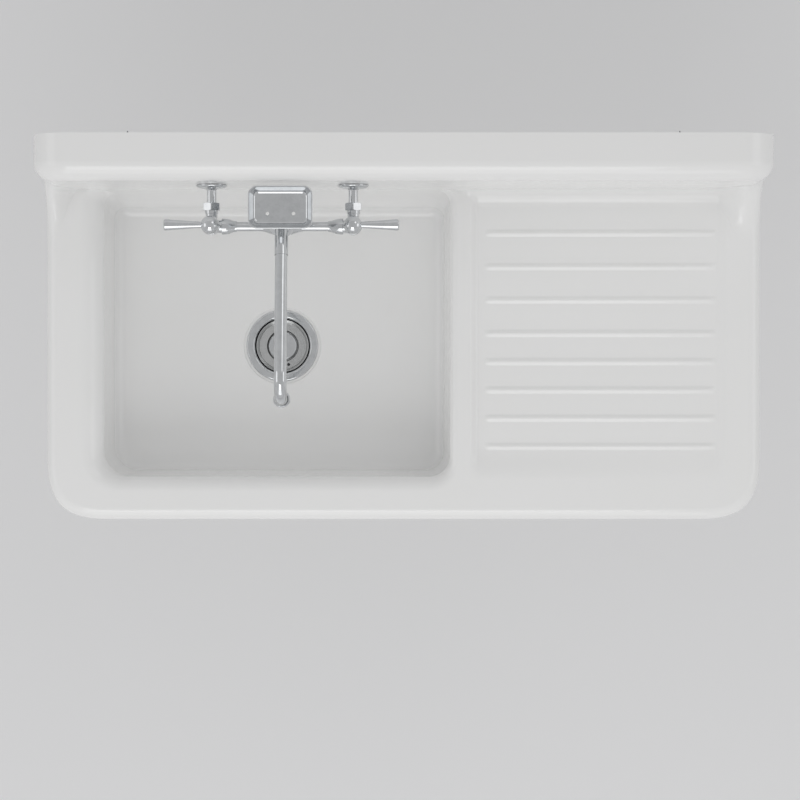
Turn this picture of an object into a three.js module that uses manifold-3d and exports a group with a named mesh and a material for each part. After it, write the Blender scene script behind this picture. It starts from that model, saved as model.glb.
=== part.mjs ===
// A wall-hung kitchen sink in enamelled cast iron: a high backsplash with a ledge, a deep bowl on the
// left, a ribbed drainboard on the right, a bridge tap through the backsplash and a basket strainer.
//
// Millimetres, +Z up. X runs to the right along the wall, and the origin is on the wall, on the sink's
// centre line, level with the top of its rim. "Reach" means the distance out from the wall, so that a
// point at reach r lies at Y = -r.

import * as THREE from 'three';
import { mergeVertices } from 'three/addons/utils/BufferGeometryUtils.js';
import Module from 'manifold-3d';

const wasm = await Module();
wasm.setup();

// ---------------------------------------------------------------- sizes

// Casting: overall
const SINK_WIDTH = 1067;
const SINK_REACH = 560;
const SPLASH_HEIGHT = 203;
const APRON_HEIGHT = 100;
const IRON = 6.5;
const RIM_ROLL = 18;
const APRON_EDGE = 3;
const FRONT_CORNER = 88;
const FRONT_CORNER_PULL = 63;

// Casting: backsplash
const SPLASH_REACH = 67;
const LIP_ROLL = 28;
const SPLASH_CORNER = 55;
const SPLASH_ROOT = 40;
const END_SWEEP = 76;
const DIVIDER_COVE = 14;
const BOARD_COVE = 28;

// Casting: bowl
const LEFT_RIM = 81.5;
const FRONT_RIM = 63;
const BOWL_WIDTH = 522;
const BOWL_DEPTH = 150;
const BOWL_FALL = 6;
const BOWL_TAPER = 3.5;
const BOWL_BACK_TAPER = 8;
const BOWL_FOOT_RADIUS = 18;
const LEFT_LIP = 34;
const FRONT_LIP = 21;
const DIVIDER_LIP = 12;
const BOWL_CORNER_BACK = 18;
const BOWL_CORNER_LEFT = 38;
const BOWL_CORNER_RIGHT = 30;

// Casting: drainboard
const DIVIDER_TOP = 28;
const RIGHT_RIM = 49.5;
const BOARD_STEP = 14;
const BOARD_BANK = 16;
const BOARD_DROP_LEFT = 9;
const BOARD_DROP_RIGHT = 3;
const BOARD_FRONT_RIM = 60;
const BOARD_RAMP = 48;
const RIB_COUNT_BACK = 4;
const RIB_COUNT_FRONT = 4;
const RIB_FIRST_REACH = 132;
const RIB_PITCH_BACK = 50;
const RIB_PITCH_FRONT = 42.2;
const RIB_WIDTH = 13;
const RIB_HEIGHT = 2.6;
const RIB_INSET = 8;

// Casting: back of the backsplash
const BACK_RIB_WIDTH = 12;
const BACK_RIB_TO_TAP = 38;
const BACK_RIB_TO_BOWL_EDGE = 70;
const BACK_RIB_TO_BOARD_EDGE = 117;
const HANGER_FROM_END = 133.5;
const LUG_WIDTH = 70;
const LUG_THICKNESS = 8;
const LUG_DROP = 36;
const LUG_TOP = 114;
const HANGER_WIDTH = 60;
const HANGER_PLATE = 5;
const HANGER_SLOT = 16;
const HANGER_BOTTOM = 30;
const HANGER_TOP = 152;
const HANGER_HOOK_RISE = 16;
const SCREW_RADIUS = 3;
const SCREW_HEAD_RADIUS = 7;
const SCREW_HEAD_HEIGHT = 4.5;
const SCREW_IN_WALL = 12;

// Drain
const DRAIN_OFFSET = 4;
const DRAIN_REACH = 297.5;
const DRAIN_HOLE_RADIUS = 45;
const SEAT_RADIUS = 58;
const SEAT_DEPTH = 2;
const STRAINER_WALL = 1.6;
const STRAINER_CUP_DEPTH = 42;
const SPIGOT_RADIUS = 23.5;
const SPIGOT_LENGTH = 33;
const GASKET_THICKNESS = 2.5;
const FRICTION_WASHER_THICKNESS = 1.4;
const DRAIN_NUT_HEIGHT = 12;
const TAILPIECE_RADIUS = 19;
const TAILPIECE_WALL = 2;
const TAILPIECE_LENGTH = 103;
const SLIP_NUT_HEIGHT = 22;
const BASKET_RIM_RADIUS = 40.5;
const BASKET_FLOOR_RADIUS = 36;
const BASKET_WELL_RADIUS = 24;
const BASKET_CAP_RADIUS = 21.6;
const BASKET_SHEET = 1.2;
const BASKET_LEDGE_DEPTH = 17;
const BASKET_HOLE_RADIUS = 2.25;
const BASKET_HOLE_COUNT = 8;

// Tap
const TAP_OFFSET = 14;
const INLET_SPACING = 207;
const INLET_HEIGHT = 95;
const VALVE_REACH = 128;
const SHANK_THREAD_RADIUS = 10;
const SHANK_NECK_RADIUS = 7;
const SHANK_BORE_RADIUS = 5.5;
const SHANK_BACK_REACH = 25;
const SHANK_HOLE_RADIUS = 12;
const SHANK_WASHER_THICKNESS = 3;
const SHANK_NUT_HEIGHT = 12;
const FLANGE_RADIUS = 22.5;
const FLANGE_HEIGHT = 6;
const UNION_REACH = 93.6;
const UNION_LENGTH = 11.2;
const UNION_FLATS = 23.8;
const VALVE_RADIUS = 12.5;
const VALVE_HEIGHT = 23;
const VALVE_FOOT = 17;
const VALVE_THREAD_RADIUS = 9.5;
const VALVE_PORT_LENGTH = 22;
const CARTRIDGE_RADIUS = 8.2;
const BONNET_HEIGHT = 8;
const STEM_RADIUS = 3.5;
const HANDLE_HEIGHT = 136;
const HANDLE_BALL_RADIUS = 13.5;
const LEVER_LENGTH = 67;
const LEVER_ROOT_RADIUS = 4.75;
const LEVER_TIP_RADIUS = 7;
const LEVER_RISE = 1.5;
const SET_SCREW_RADIUS = 2;
const BRIDGE_RADIUS = 7.5;
const COUPLING_LENGTH = 22;
const HUB_RADIUS = 15;
const HUB_FOOT = 15;
const HUB_RISE = 17;
const HUB_FLARE_LENGTH = 18;
const HUB_BORE_RADIUS = 9.5;
const HUB_RING_GRIP = 4;
const HUB_RING_HEIGHT = 11;
const SPOUT_COLLAR = 3;

// Spout
const SPOUT_ROOT_HEIGHT = 130;
const SPOUT_RISE_ANGLE = 13;
const SPOUT_TUBE_RADIUS = 9;
const SPOUT_TUBE_WALL = 1.5;
const SPOUT_ARM_RADIUS = 9.75;
const SPOUT_ARM_LENGTH = 44;
const SPOUT_STRAIGHT_END = 213;
const SPOUT_BEND_RADIUS = 32;
const SPOUT_DROP = 28;
const SPOUT_ELBOW_RADIUS = 12.5;
const SPOUT_NECK_RADIUS = 10;
const O_RING_SECTION = 1.2;
const AERATOR_RADIUS = 12.5;
const AERATOR_LENGTH = 16;
const AERATOR_HOLE_RADIUS = 1.7;

// Soap dish
const DISH_WIDTH = 93;
const DISH_LENGTH = 62;
const DISH_REACH = 105;
const DISH_BOTTOM_HEIGHT = 165;
const DISH_DEPTH = 15;
const DISH_FLARE = 6;
const DISH_WALL = 3;
const DISH_CORNER = 11;
const DISH_HOLE_SPACING = 37.4;
const DISH_HOLE_OFFSET = 8.5;
const DISH_HOLE_RADIUS = 2.5;
const POST_BEHIND = 24;
const POST_WEB_RADIUS = 6;
const POST_RADIUS = 4;
const POST_BOSS_RADIUS = 7.5;

// Clearances
const SEAT_GAP = 0.3;
const RUNNING_GAP = 0.3;
const OVERCUT = 1;

// Smoothness of round shapes
const ROUND = 12;
const ROUND_LARGE = 20;
const ROUND_SMALL = 8;
// A piece that turns in another has more sides, so that its corners clear the flats of the bore.
const ROUND_TURNING = 16;
const ROLL_STEPS = 5;
const CORNER_STEPS = 5;

// ---------------------------------------------------------------- places that follow from the sizes

const HALF_WIDTH = SINK_WIDTH / 2;
const BOWL_LEFT = -HALF_WIDTH + LEFT_RIM;
const BOWL_RIGHT = BOWL_LEFT + BOWL_WIDTH;
const BOWL_CENTRE = (BOWL_LEFT + BOWL_RIGHT) / 2;
const BOWL_FRONT = SINK_REACH - FRONT_RIM;
const BOARD_LEFT = BOWL_RIGHT + DIVIDER_TOP;
const BOARD_RIGHT = HALF_WIDTH - RIGHT_RIM;
const BOARD_FRONT = SINK_REACH - BOARD_FRONT_RIM;
const DRAIN_X = BOWL_CENTRE + DRAIN_OFFSET;
const SEAT_HEIGHT = -(BOWL_DEPTH + BOWL_FALL + SEAT_DEPTH);
const TAP_X = BOWL_CENTRE + TAP_OFFSET;
const SPLASH_BACK = SPLASH_REACH - IRON;
const HANGER_X = HALF_WIDTH - HANGER_FROM_END;
const BACK_RIB_PLACES = [
  TAP_X - BACK_RIB_TO_TAP,
  BOWL_RIGHT - BACK_RIB_TO_BOWL_EDGE,
  BOARD_LEFT + BACK_RIB_TO_BOARD_EDGE,
];

// ---------------------------------------------------------------- finishes

const FINISHES = {
  enamel: { color: 0xe6e7e5, roughness: 0.12, metalness: 0 },
  chrome: { color: 0xc9ccd0, roughness: 0.08, metalness: 1 },
  brass: { color: 0xb58d4a, roughness: 0.35, metalness: 1 },
  steel: { color: 0xa9abad, roughness: 0.35, metalness: 1 },
  zinc: { color: 0x8f9396, roughness: 0.5, metalness: 0.9 },
  rubber: { color: 0x1d1d1e, roughness: 0.85, metalness: 0 },
  fibre: { color: 0x9a6a4a, roughness: 0.9, metalness: 0 },
  plastic: { color: 0xd8d8d2, roughness: 0.5, metalness: 0 },
};

// ---------------------------------------------------------------- shape helpers

const degrees = THREE.MathUtils.degToRad;
const quarter = Math.PI / 2;

/** A point at x along the wall, at a reach out from it and at height z. */
const at = (x, reach, z) => new THREE.Vector3(x, -reach, z);

/** Numbers from one value to another in even steps, both ends included. */
function spread(from, to, steps) {
  return Array.from({ length: steps + 1 }, (_, i) => from + ((to - from) * i) / steps);
}

/** 0 before one value, 1 after another, and a smooth S between them. */
const ease = (value, from, to) => THREE.MathUtils.smoothstep(value, from, to);

/** Volume inside an indexed closed mesh, negative where its faces point inwards. */
function signedVolume(positions, index) {
  const [a, b, c] = [new THREE.Vector3(), new THREE.Vector3(), new THREE.Vector3()];
  let volume = 0;
  for (let i = 0; i < index.length; i += 3) {
    a.fromArray(positions, index[i] * 3);
    b.fromArray(positions, index[i + 1] * 3);
    c.fromArray(positions, index[i + 2] * 3);
    volume += a.dot(b.cross(c)) / 6;
  }
  return volume;
}

/** The same surface with shared corners, no empty faces, and every face pointing outwards. */
function closed(geometry) {
  const bare = new THREE.BufferGeometry();
  bare.setAttribute('position', geometry.getAttribute('position'));
  bare.setIndex(geometry.getIndex());
  const merged = mergeVertices(bare, 1e-4);
  const corners = merged.getIndex().array;
  const faces = [];
  for (let i = 0; i < corners.length; i += 3) {
    const [a, b, c] = corners.slice(i, i + 3);
    if (a !== b && b !== c && c !== a) faces.push(a, b, c);
  }
  if (signedVolume(merged.getAttribute('position').array, faces) < 0) faces.reverse();
  merged.setIndex(faces);
  return merged;
}

/** A geometry as a solid that can be cut and joined. */
function toSolid(geometry) {
  const whole = closed(geometry);
  return new wasm.Manifold(
    new wasm.Mesh({
      numProp: 3,
      vertProperties: new Float32Array(whole.getAttribute('position').array),
      triVerts: new Uint32Array(whole.getIndex().array),
    }),
  );
}

/** A solid back as a geometry. */
function toGeometry(solid) {
  const mesh = solid.getMesh();
  const geometry = new THREE.BufferGeometry();
  geometry.setAttribute('position', new THREE.BufferAttribute(mesh.vertProperties, 3));
  geometry.setIndex(new THREE.BufferAttribute(mesh.triVerts, 1));
  return geometry;
}

/** Geometries joined into one. */
function joined(...parts) {
  return toGeometry(parts.map(toSolid).reduce((sum, part) => sum.add(part)));
}

/** One geometry with others cut out of it. */
function cut(body, ...tools) {
  return toGeometry(tools.map(toSolid).reduce((rest, tool) => rest.subtract(tool), toSolid(body)));
}

/**
 * A closed skin through rings of equally many points. An end is closed by a fan from the middle of its
 * ring, or from the ring's own point number fanFrom where the ring isn't convex.
 */
function loft(rings, fanFrom = null) {
  const count = rings[0].length;
  const points = rings.flat();
  const faces = [];
  for (let r = 0; r + 1 < rings.length; r += 1) {
    for (let i = 0; i < count; i += 1) {
      const near = r * count + i;
      const next = r * count + ((i + 1) % count);
      faces.push(near, next, next + count, near, next + count, near + count);
    }
  }
  for (const [r, turn] of [[0, -1], [rings.length - 1, 1]]) {
    let hub = r * count + (fanFrom ?? 0);
    if (fanFrom === null) {
      const middle = rings[r].reduce((sum, p) => sum.add(p), new THREE.Vector3());
      hub = points.push(middle.divideScalar(count)) - 1;
    }
    for (let i = 0; i < count; i += 1) {
      const near = r * count + i;
      const next = r * count + ((i + 1) % count);
      if (near !== hub && next !== hub) faces.push(...(turn > 0 ? [hub, near, next] : [hub, next, near]));
    }
  }
  const geometry = new THREE.BufferGeometry().setFromPoints(points);
  geometry.setIndex(faces);
  return closed(geometry);
}

const AXES = {
  up: (g) => g.rotateX(quarter),
  front: (g) => g.rotateX(Math.PI),
  right: (g) => g.rotateZ(-quarter),
};

/** A profile of [radius, height] points spun about an axis; off the axis it closes on itself. */
function turned(profile, axis = 'up', sides = ROUND) {
  const points = profile.map(([radius, height]) => new THREE.Vector2(radius, height));
  if (profile[0][0] > 0) points.push(points[0].clone());
  return closed(AXES[axis](new THREE.LatheGeometry(points, sides)));
}

/** A plain round bar between two heights on an axis. */
function bar(radius, from, to, axis = 'up', sides = ROUND) {
  return turned([[0, from], [radius, from], [radius, to], [0, to]], axis, sides);
}

/** A washer or sleeve between two heights on an axis. */
function sleeve(inner, outer, from, to, axis = 'up', sides = ROUND) {
  return turned([[inner, from], [outer, from], [outer, to], [inner, to]], axis, sides);
}

/** An outline extruded between two heights along an axis. */
function slab(shape, from, to, axis = 'up') {
  const geometry = new THREE.ExtrudeGeometry(shape, {
    depth: to - from,
    bevelEnabled: false,
    curveSegments: ROUND_SMALL,
  });
  geometry.translate(0, 0, from);
  if (axis === 'front') geometry.rotateX(quarter);
  if (axis === 'right') geometry.rotateY(quarter);
  return closed(geometry);
}

/** The outline of a regular hexagon with the given distance across its flats. */
function hexagon(flats) {
  const radius = flats / Math.sqrt(3);
  const corners = spread(0, 5, 5).map((i) => (i * Math.PI) / 3);
  return new THREE.Shape(corners.map((a) => new THREE.Vector2(radius * Math.cos(a), radius * Math.sin(a))));
}

/** A side view drawn as [reach, height] points, extruded to both sides of x. */
function sideProfile(points, x, width) {
  const shape = new THREE.Shape(points.map(([reach, z]) => new THREE.Vector2(reach, z)));
  const geometry = new THREE.ExtrudeGeometry(shape, { depth: width, bevelEnabled: false });
  const [outward, up, right] = [new THREE.Vector3(0, -1, 0), new THREE.Vector3(0, 0, 1), new THREE.Vector3(1, 0, 0)];
  geometry.applyMatrix4(new THREE.Matrix4().makeBasis(outward, up, right));
  return closed(geometry.translate(x - width / 2, 0, 0));
}

// ---------------------------------------------------------------- casting: outer form

/** The rim seen from above, drawn in by an inset on its free sides; its back edge stays at a set reach. */
function rimPlan(inset, z, backReach) {
  const corner = new THREE.CubicBezierCurve(
    new THREE.Vector2(HALF_WIDTH, SINK_REACH - FRONT_CORNER),
    new THREE.Vector2(HALF_WIDTH, SINK_REACH - FRONT_CORNER + FRONT_CORNER_PULL),
    new THREE.Vector2(HALF_WIDTH - FRONT_CORNER + FRONT_CORNER_PULL, SINK_REACH),
    new THREE.Vector2(HALF_WIDTH - FRONT_CORNER, SINK_REACH),
  );
  const half = [[HALF_WIDTH - inset, backReach]];
  for (const t of spread(0, 1, CORNER_STEPS + 1)) {
    const point = corner.getPoint(t);
    const along = corner.getTangent(t);
    half.push([point.x - inset * along.y, point.y + inset * along.x]);
  }
  const mirrored = half.map(([x, reach]) => [-x, reach]).reverse();
  return [...half, ...mirrored].map(([x, reach]) => at(x, reach, z));
}

/** The rim and apron, or, drawn in by the iron's thickness, the room inside them. */
function rimBlock(inset) {
  const roll = RIM_ROLL - inset;
  const back = inset > 0 ? -OVERCUT : 0;
  const rings = spread(0, quarter, ROLL_STEPS).map((a) =>
    rimPlan(inset + roll * (1 - Math.sin(a)), -inset - roll * (1 - Math.cos(a)), back),
  );
  if (inset > 0) {
    rings.push(rimPlan(inset, -APRON_HEIGHT - OVERCUT, back));
  } else {
    rings.push(rimPlan(0, -APRON_HEIGHT + APRON_EDGE, back));
    rings.push(rimPlan(APRON_EDGE / 2, -APRON_HEIGHT, back));
  }
  return loft(rings);
}

/** The backsplash seen from the front, drawn in by an inset at its top and ends. */
function splashElevation(inset, reach) {
  const radius = SPLASH_CORNER - inset;
  const centreX = HALF_WIDTH - SPLASH_CORNER;
  const centreZ = SPLASH_HEIGHT - SPLASH_CORNER;
  const half = [[HALF_WIDTH - inset, -SPLASH_ROOT]];
  for (const a of spread(0, quarter, CORNER_STEPS)) {
    half.push([centreX + radius * Math.cos(a), centreZ + radius * Math.sin(a)]);
  }
  const mirrored = half.map(([x, z]) => [-x, z]).reverse();
  return [...half, ...mirrored].map(([x, z]) => at(x, reach, z));
}

/** The backsplash with its rolled lip, or the room inside it. */
function splashBlock(inset) {
  const roll = LIP_ROLL - inset;
  const rings = [splashElevation(inset, inset > 0 ? -OVERCUT : 0)];
  for (const a of spread(0, quarter, ROLL_STEPS)) {
    rings.push(splashElevation(inset + roll * (1 - Math.cos(a)), SPLASH_REACH - LIP_ROLL + roll * Math.sin(a)));
  }
  return loft(rings);
}

// ---------------------------------------------------------------- casting: bowl

/** How far a rounded top edge of the given radius flares out at a depth below the surface. */
function lipFlare(radius, depth) {
  const rest = Math.max(radius - Math.max(depth, 0), 0);
  return radius > 0 ? radius - Math.sqrt(radius * radius - rest * rest) : 0;
}

/** The bowl seen from above at a depth: a rectangle with four corner radii, grown by the iron. */
function bowlPlan(depth, foot, grow) {
  const wallDepth = Math.min(Math.max(depth, 0), BOWL_DEPTH - BOWL_FOOT_RADIUS);
  const taper = wallDepth * Math.tan(degrees(BOWL_TAPER)) + foot;
  const backTaper = wallDepth * Math.tan(degrees(BOWL_BACK_TAPER)) + foot;
  const flare = (lip) => lipFlare(lip - grow, depth - grow);
  const left = BOWL_LEFT + taper - flare(LEFT_LIP) - grow;
  const right = BOWL_RIGHT - taper + flare(DIVIDER_LIP) + grow;
  const back = SPLASH_REACH + backTaper - grow;
  const front = BOWL_FRONT - taper + flare(FRONT_LIP) + grow;
  const corners = [
    [right, back, BOWL_CORNER_BACK, 0],
    [left, back, BOWL_CORNER_BACK, 1],
    [left, front, BOWL_CORNER_LEFT + flare(FRONT_LIP), 2],
    [right, front, BOWL_CORNER_RIGHT + flare(DIVIDER_LIP), 3],
  ];
  const arcs = corners.map(([x, reach, base, turn]) => {
    const radius = base + grow - foot * 0.5;
    const centreX = x + (turn === 0 || turn === 3 ? -radius : radius);
    const centreReach = reach + (turn < 2 ? radius : -radius);
    return spread(turn * quarter, (turn + 1) * quarter, CORNER_STEPS - 1).map((a) =>
      at(centreX + radius * Math.cos(a), centreReach - radius * Math.sin(a), -depth),
    );
  });
  const ring = [];
  arcs.forEach((arc, i) => {
    const start = arcs[(i + 1) % arcs.length][0];
    const end = arc[arc.length - 1];
    ring.push(...arc);
    ring.push(end.clone().lerp(start, 0.5));
  });
  return ring;
}

/** A circle about the drain with as many points as the bowl's plan, turned to lie under them. */
function drainCircle(radius, depth) {
  const count = 4 * (CORNER_STEPS + 1);
  const start = Math.PI / 4 - (Math.PI * (CORNER_STEPS - 1)) / count;
  return Array.from({ length: count }, (_, i) => {
    const a = start + (2 * Math.PI * i) / count;
    return at(DRAIN_X + radius * Math.cos(a), DRAIN_REACH - radius * Math.sin(a), -depth);
  });
}

/** The bowl's hollow, or, grown by the iron's thickness, the bowl's outside. */
function bowlBody(grow) {
  const lips = spread(0, quarter, ROLL_STEPS + 1).map((a) => grow + (LEFT_LIP - grow) * (1 - Math.cos(a)));
  const rings = [bowlPlan(lips[0], 0, grow).map((p) => p.clone().setZ(grow > 0 ? -grow / 2 : OVERCUT))];
  for (const depth of lips) rings.push(bowlPlan(depth, 0, grow));
  for (const a of spread(0, quarter, ROLL_STEPS)) {
    const radius = BOWL_FOOT_RADIUS + grow;
    const foot = radius * (1 - Math.cos(a));
    rings.push(bowlPlan(BOWL_DEPTH - BOWL_FOOT_RADIUS + radius * Math.sin(a), foot, grow));
  }
  rings.push(drainCircle(SEAT_RADIUS + 2 + grow, BOWL_DEPTH + BOWL_FALL + grow));
  rings.push(drainCircle(SEAT_RADIUS + grow, BOWL_DEPTH + BOWL_FALL + SEAT_DEPTH + grow));
  return loft(rings);
}

// ---------------------------------------------------------------- casting: drainboard

/** How deep the drainboard's field lies at x: deeper towards the bowl, level with the rim at its sides. */
function boardDrop(x) {
  const along = (x - BOARD_LEFT) / (BOARD_RIGHT - BOARD_LEFT);
  const drop = THREE.MathUtils.lerp(BOARD_DROP_LEFT, BOARD_DROP_RIGHT, along);
  return drop * ease(x, BOARD_LEFT, BOARD_LEFT + BOARD_STEP) * (1 - ease(x, BOARD_RIGHT - BOARD_BANK, BOARD_RIGHT));
}

/** The places along x where the drainboard's cross-section changes. */
function boardStations() {
  return [
    ...spread(BOARD_LEFT, BOARD_LEFT + BOARD_STEP, 5),
    ...spread(BOARD_RIGHT - BOARD_BANK, BOARD_RIGHT, 5),
  ];
}

/** The hollow of the drainboard, from the backsplash to its front ramp, with its floor lowered by extra. */
function boardBody(extra, top) {
  const rings = boardStations().map((x) => {
    const drop = boardDrop(x);
    const floor = [[SPLASH_REACH, top], [SPLASH_REACH, -drop - extra]];
    for (const reach of spread(BOARD_FRONT - BOARD_RAMP, BOARD_FRONT, ROLL_STEPS)) {
      floor.push([reach, -drop * (1 - ease(reach, BOARD_FRONT - BOARD_RAMP, BOARD_FRONT)) - extra]);
    }
    floor.push([BOARD_FRONT, top]);
    return floor.map(([reach, z]) => at(x, reach, z));
  });
  return loft(rings, 0);
}

/** The reach of each rib on the drainboard: a wide spacing at the back, a closer one at the front. */
function ribReaches() {
  const back = spread(0, RIB_COUNT_BACK - 1, RIB_COUNT_BACK - 1).map((i) => RIB_FIRST_REACH + i * RIB_PITCH_BACK);
  const last = back[back.length - 1];
  const front = spread(1, RIB_COUNT_FRONT, RIB_COUNT_FRONT - 1).map((i) => last + i * RIB_PITCH_FRONT);
  return [...back, ...front];
}

/** One rounded rib that follows the drainboard's slope and fades into it at both ends. */
function boardRib(reach) {
  const left = BOARD_LEFT + BOARD_STEP + RIB_INSET;
  const right = BOARD_RIGHT - BOARD_BANK;
  const stations = [left, left + RIB_WIDTH, right - RIB_WIDTH, right];
  const rings = stations.map((x, i) => {
    const height = i === 0 || i === stations.length - 1 ? 0 : RIB_HEIGHT;
    const floor = -boardDrop(x) - IRON / 4;
    const section = [[-RIB_WIDTH / 2, 0]];
    for (const share of spread(-1, 1, ROLL_STEPS + 1)) {
      section.push([(share * RIB_WIDTH) / 2, IRON / 4 + (height * (1 + Math.cos(share * Math.PI))) / 2]);
    }
    section.push([RIB_WIDTH / 2, 0]);
    return section.map(([across, up]) => at(x, reach + across, floor + up));
  });
  return loft(rings);
}

// ---------------------------------------------------------------- casting: cove under the backsplash

/** How far the surface falls away at a distance from the end of the casting, on a roll of some radius. */
const rollFall = (radius, fromEnd) => lipFlare(radius, fromEnd);

/** The cross-section of the cove at x, where the backsplash meets the rim or the drainboard. */
function coveSection(x, radius, level) {
  const fromEnd = HALF_WIDTH - Math.abs(x);
  const toeFall = rollFall(RIM_ROLL, fromEnd);
  const topFall = rollFall(LIP_ROLL, fromEnd);
  const depth = IRON / 2;
  const section = spread(0, quarter, ROLL_STEPS + 1).map((a) => {
    const fall = rollFall(THREE.MathUtils.lerp(RIM_ROLL, LIP_ROLL, a / quarter), fromEnd);
    return [SPLASH_REACH + radius - (radius + fall) * Math.sin(a), level + radius - (radius + fall) * Math.cos(a)];
  });
  section.push([SPLASH_REACH - topFall - depth, level + radius]);
  section.push([SPLASH_REACH - topFall - depth, level - toeFall - depth]);
  section.push([SPLASH_REACH + radius, level - toeFall - depth]);
  return section.map(([reach, z]) => at(x, reach, z));
}

/** Distances from the casting's end that follow the roll of its edge. */
const rollStations = () => spread(0, quarter, ROLL_STEPS).map((a) => LIP_ROLL * (1 - Math.cos(a)));

/** The left end's cove: a large sweep on the outer edge that fades out at the bowl's lip. */
function leftCove() {
  const fadeEnd = LEFT_RIM - LEFT_LIP;
  const fromEnds = [...rollStations(), ...spread(LIP_ROLL, fadeEnd, 4).slice(1)];
  const rings = fromEnds.map((fromEnd) => {
    const fade = ease(fromEnd, RIM_ROLL / 2, fadeEnd);
    return coveSection(-HALF_WIDTH + fromEnd, THREE.MathUtils.lerp(END_SWEEP, 1, fade), 0);
  });
  return loft(rings, rings[0].length - 2);
}

/** The right-hand cove: over the divider, down to the drainboard, and up the sweep of the right end. */
function rightCove() {
  const start = BOWL_RIGHT + DIVIDER_LIP;
  const xs = [
    ...spread(start, BOARD_LEFT, 3),
    ...spread(BOARD_LEFT, BOARD_LEFT + BOARD_STEP, 5).slice(1),
    ...spread(BOARD_RIGHT - BOARD_BANK, BOARD_RIGHT, 5),
    ...spread(BOARD_RIGHT, HALF_WIDTH - LIP_ROLL, 3).slice(1),
    ...rollStations().reverse().slice(1).map((fromEnd) => HALF_WIDTH - fromEnd),
  ];
  const rings = xs.map((x) => {
    const onDivider = 1 + (DIVIDER_COVE - 1) * ease(x, start, BOARD_LEFT);
    const onBoard = THREE.MathUtils.lerp(onDivider, BOARD_COVE, ease(x, BOARD_LEFT, BOARD_LEFT + BOARD_STEP));
    const radius = THREE.MathUtils.lerp(onBoard, END_SWEEP, ease(x, BOARD_RIGHT - BOARD_BANK, HALF_WIDTH - LIP_ROLL));
    return coveSection(x, radius, -boardDrop(x));
  });
  return loft(rings, rings[0].length - 2);
}

// ---------------------------------------------------------------- casting: back and whole

/** An upright rib that carries the backsplash against the wall. */
function backRib(x) {
  const low = -APRON_HEIGHT + APRON_EDGE;
  const under = SPLASH_REACH - low * Math.tan(degrees(BOWL_BACK_TAPER)) - IRON / 2;
  const mid = SPLASH_REACH - IRON / 2;
  const top = SPLASH_HEIGHT - LIP_ROLL;
  const overX = x > BOWL_RIGHT || x < BOWL_LEFT;
  const outline = [[0, top], [mid, top], [mid, 0], [overX ? mid : under, low], [0, low]];
  return sideProfile(outline, x, BACK_RIB_WIDTH);
}

/** The lug behind the backsplash that hooks over a wall hanger. */
function hangerLug(x) {
  const root = SPLASH_REACH - IRON / 2;
  const lipFront = HANGER_PLATE + HANGER_SLOT - SEAT_GAP;
  const outline = [
    [lipFront - LUG_THICKNESS, LUG_TOP],
    [lipFront - LUG_THICKNESS, LUG_TOP - LUG_DROP],
    [lipFront, LUG_TOP - LUG_DROP],
    [lipFront, LUG_TOP - LUG_THICKNESS - 4],
    [root, LUG_TOP - LUG_THICKNESS - 8],
    [root, LUG_TOP],
  ];
  return sideProfile(outline, x, LUG_WIDTH);
}

/** A tall open-backed tool that keeps the drain hole and the inlet holes in line with their pieces. */
function castingHoles() {
  const drain = bar(DRAIN_HOLE_RADIUS, SEAT_HEIGHT - IRON - OVERCUT, SEAT_HEIGHT + OVERCUT, 'up', ROUND_LARGE);
  drain.translate(DRAIN_X, -DRAIN_REACH, 0);
  const inlets = [-1, 1].map((side) => {
    const hole = bar(SHANK_HOLE_RADIUS, SPLASH_BACK - OVERCUT, SPLASH_REACH + OVERCUT, 'front');
    return hole.translate(TAP_X + (side * INLET_SPACING) / 2, 0, INLET_HEIGHT);
  });
  return [drain, ...inlets];
}

/** The whole casting: a shell open at the back and underneath, with the bowl hanging in it. */
function sinkCasting() {
  const keepIron = joined(bowlBody(IRON), boardBody(IRON, 0));
  const room = cut(joined(rimBlock(IRON), splashBlock(IRON)), keepIron);
  const outer = joined(rimBlock(0), splashBlock(0), bowlBody(IRON));
  const backRibs = BACK_RIB_PLACES.map(backRib);
  const lugs = [-1, 1].map((side) => hangerLug(side * HANGER_X));
  const shell = joined(cut(outer, room), ...backRibs, ...lugs);
  const hollowed = cut(shell, bowlBody(0), boardBody(0, OVERCUT));
  const ribs = ribReaches().map(boardRib);
  return cut(joined(hollowed, leftCove(), rightCove(), ...ribs), ...castingHoles());
}

// ---------------------------------------------------------------- wall hangers

/** A hanger bracket: a plate screwed to the wall with a hook that the casting's lug drops into. */
function wallHanger() {
  const hookTop = LUG_TOP - LUG_DROP - SEAT_GAP;
  const hookReach = HANGER_PLATE + HANGER_SLOT;
  const outline = [
    [0, HANGER_BOTTOM],
    [HANGER_PLATE, HANGER_BOTTOM],
    [HANGER_PLATE, hookTop - LUG_THICKNESS],
    [hookReach + HANGER_PLATE, hookTop - LUG_THICKNESS],
    [hookReach + HANGER_PLATE, hookTop + HANGER_HOOK_RISE],
    [hookReach, hookTop + HANGER_HOOK_RISE],
    [hookReach, hookTop],
    [HANGER_PLATE, hookTop],
    [HANGER_PLATE, HANGER_TOP],
    [0, HANGER_TOP],
  ];
  const holes = hangerScrewHeights().map((z) =>
    bar(SCREW_RADIUS + SEAT_GAP, -OVERCUT, HANGER_PLATE + OVERCUT, 'front', ROUND_SMALL).translate(0, 0, z),
  );
  return cut(sideProfile(outline, 0, HANGER_WIDTH), ...holes);
}

/** The heights of a hanger's two screws, midway between its ends and what stands out of it. */
function hangerScrewHeights() {
  const hookBottom = LUG_TOP - LUG_DROP - SEAT_GAP - LUG_THICKNESS;
  return [(HANGER_BOTTOM + hookBottom) / 2, (HANGER_TOP + LUG_TOP) / 2];
}

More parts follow.
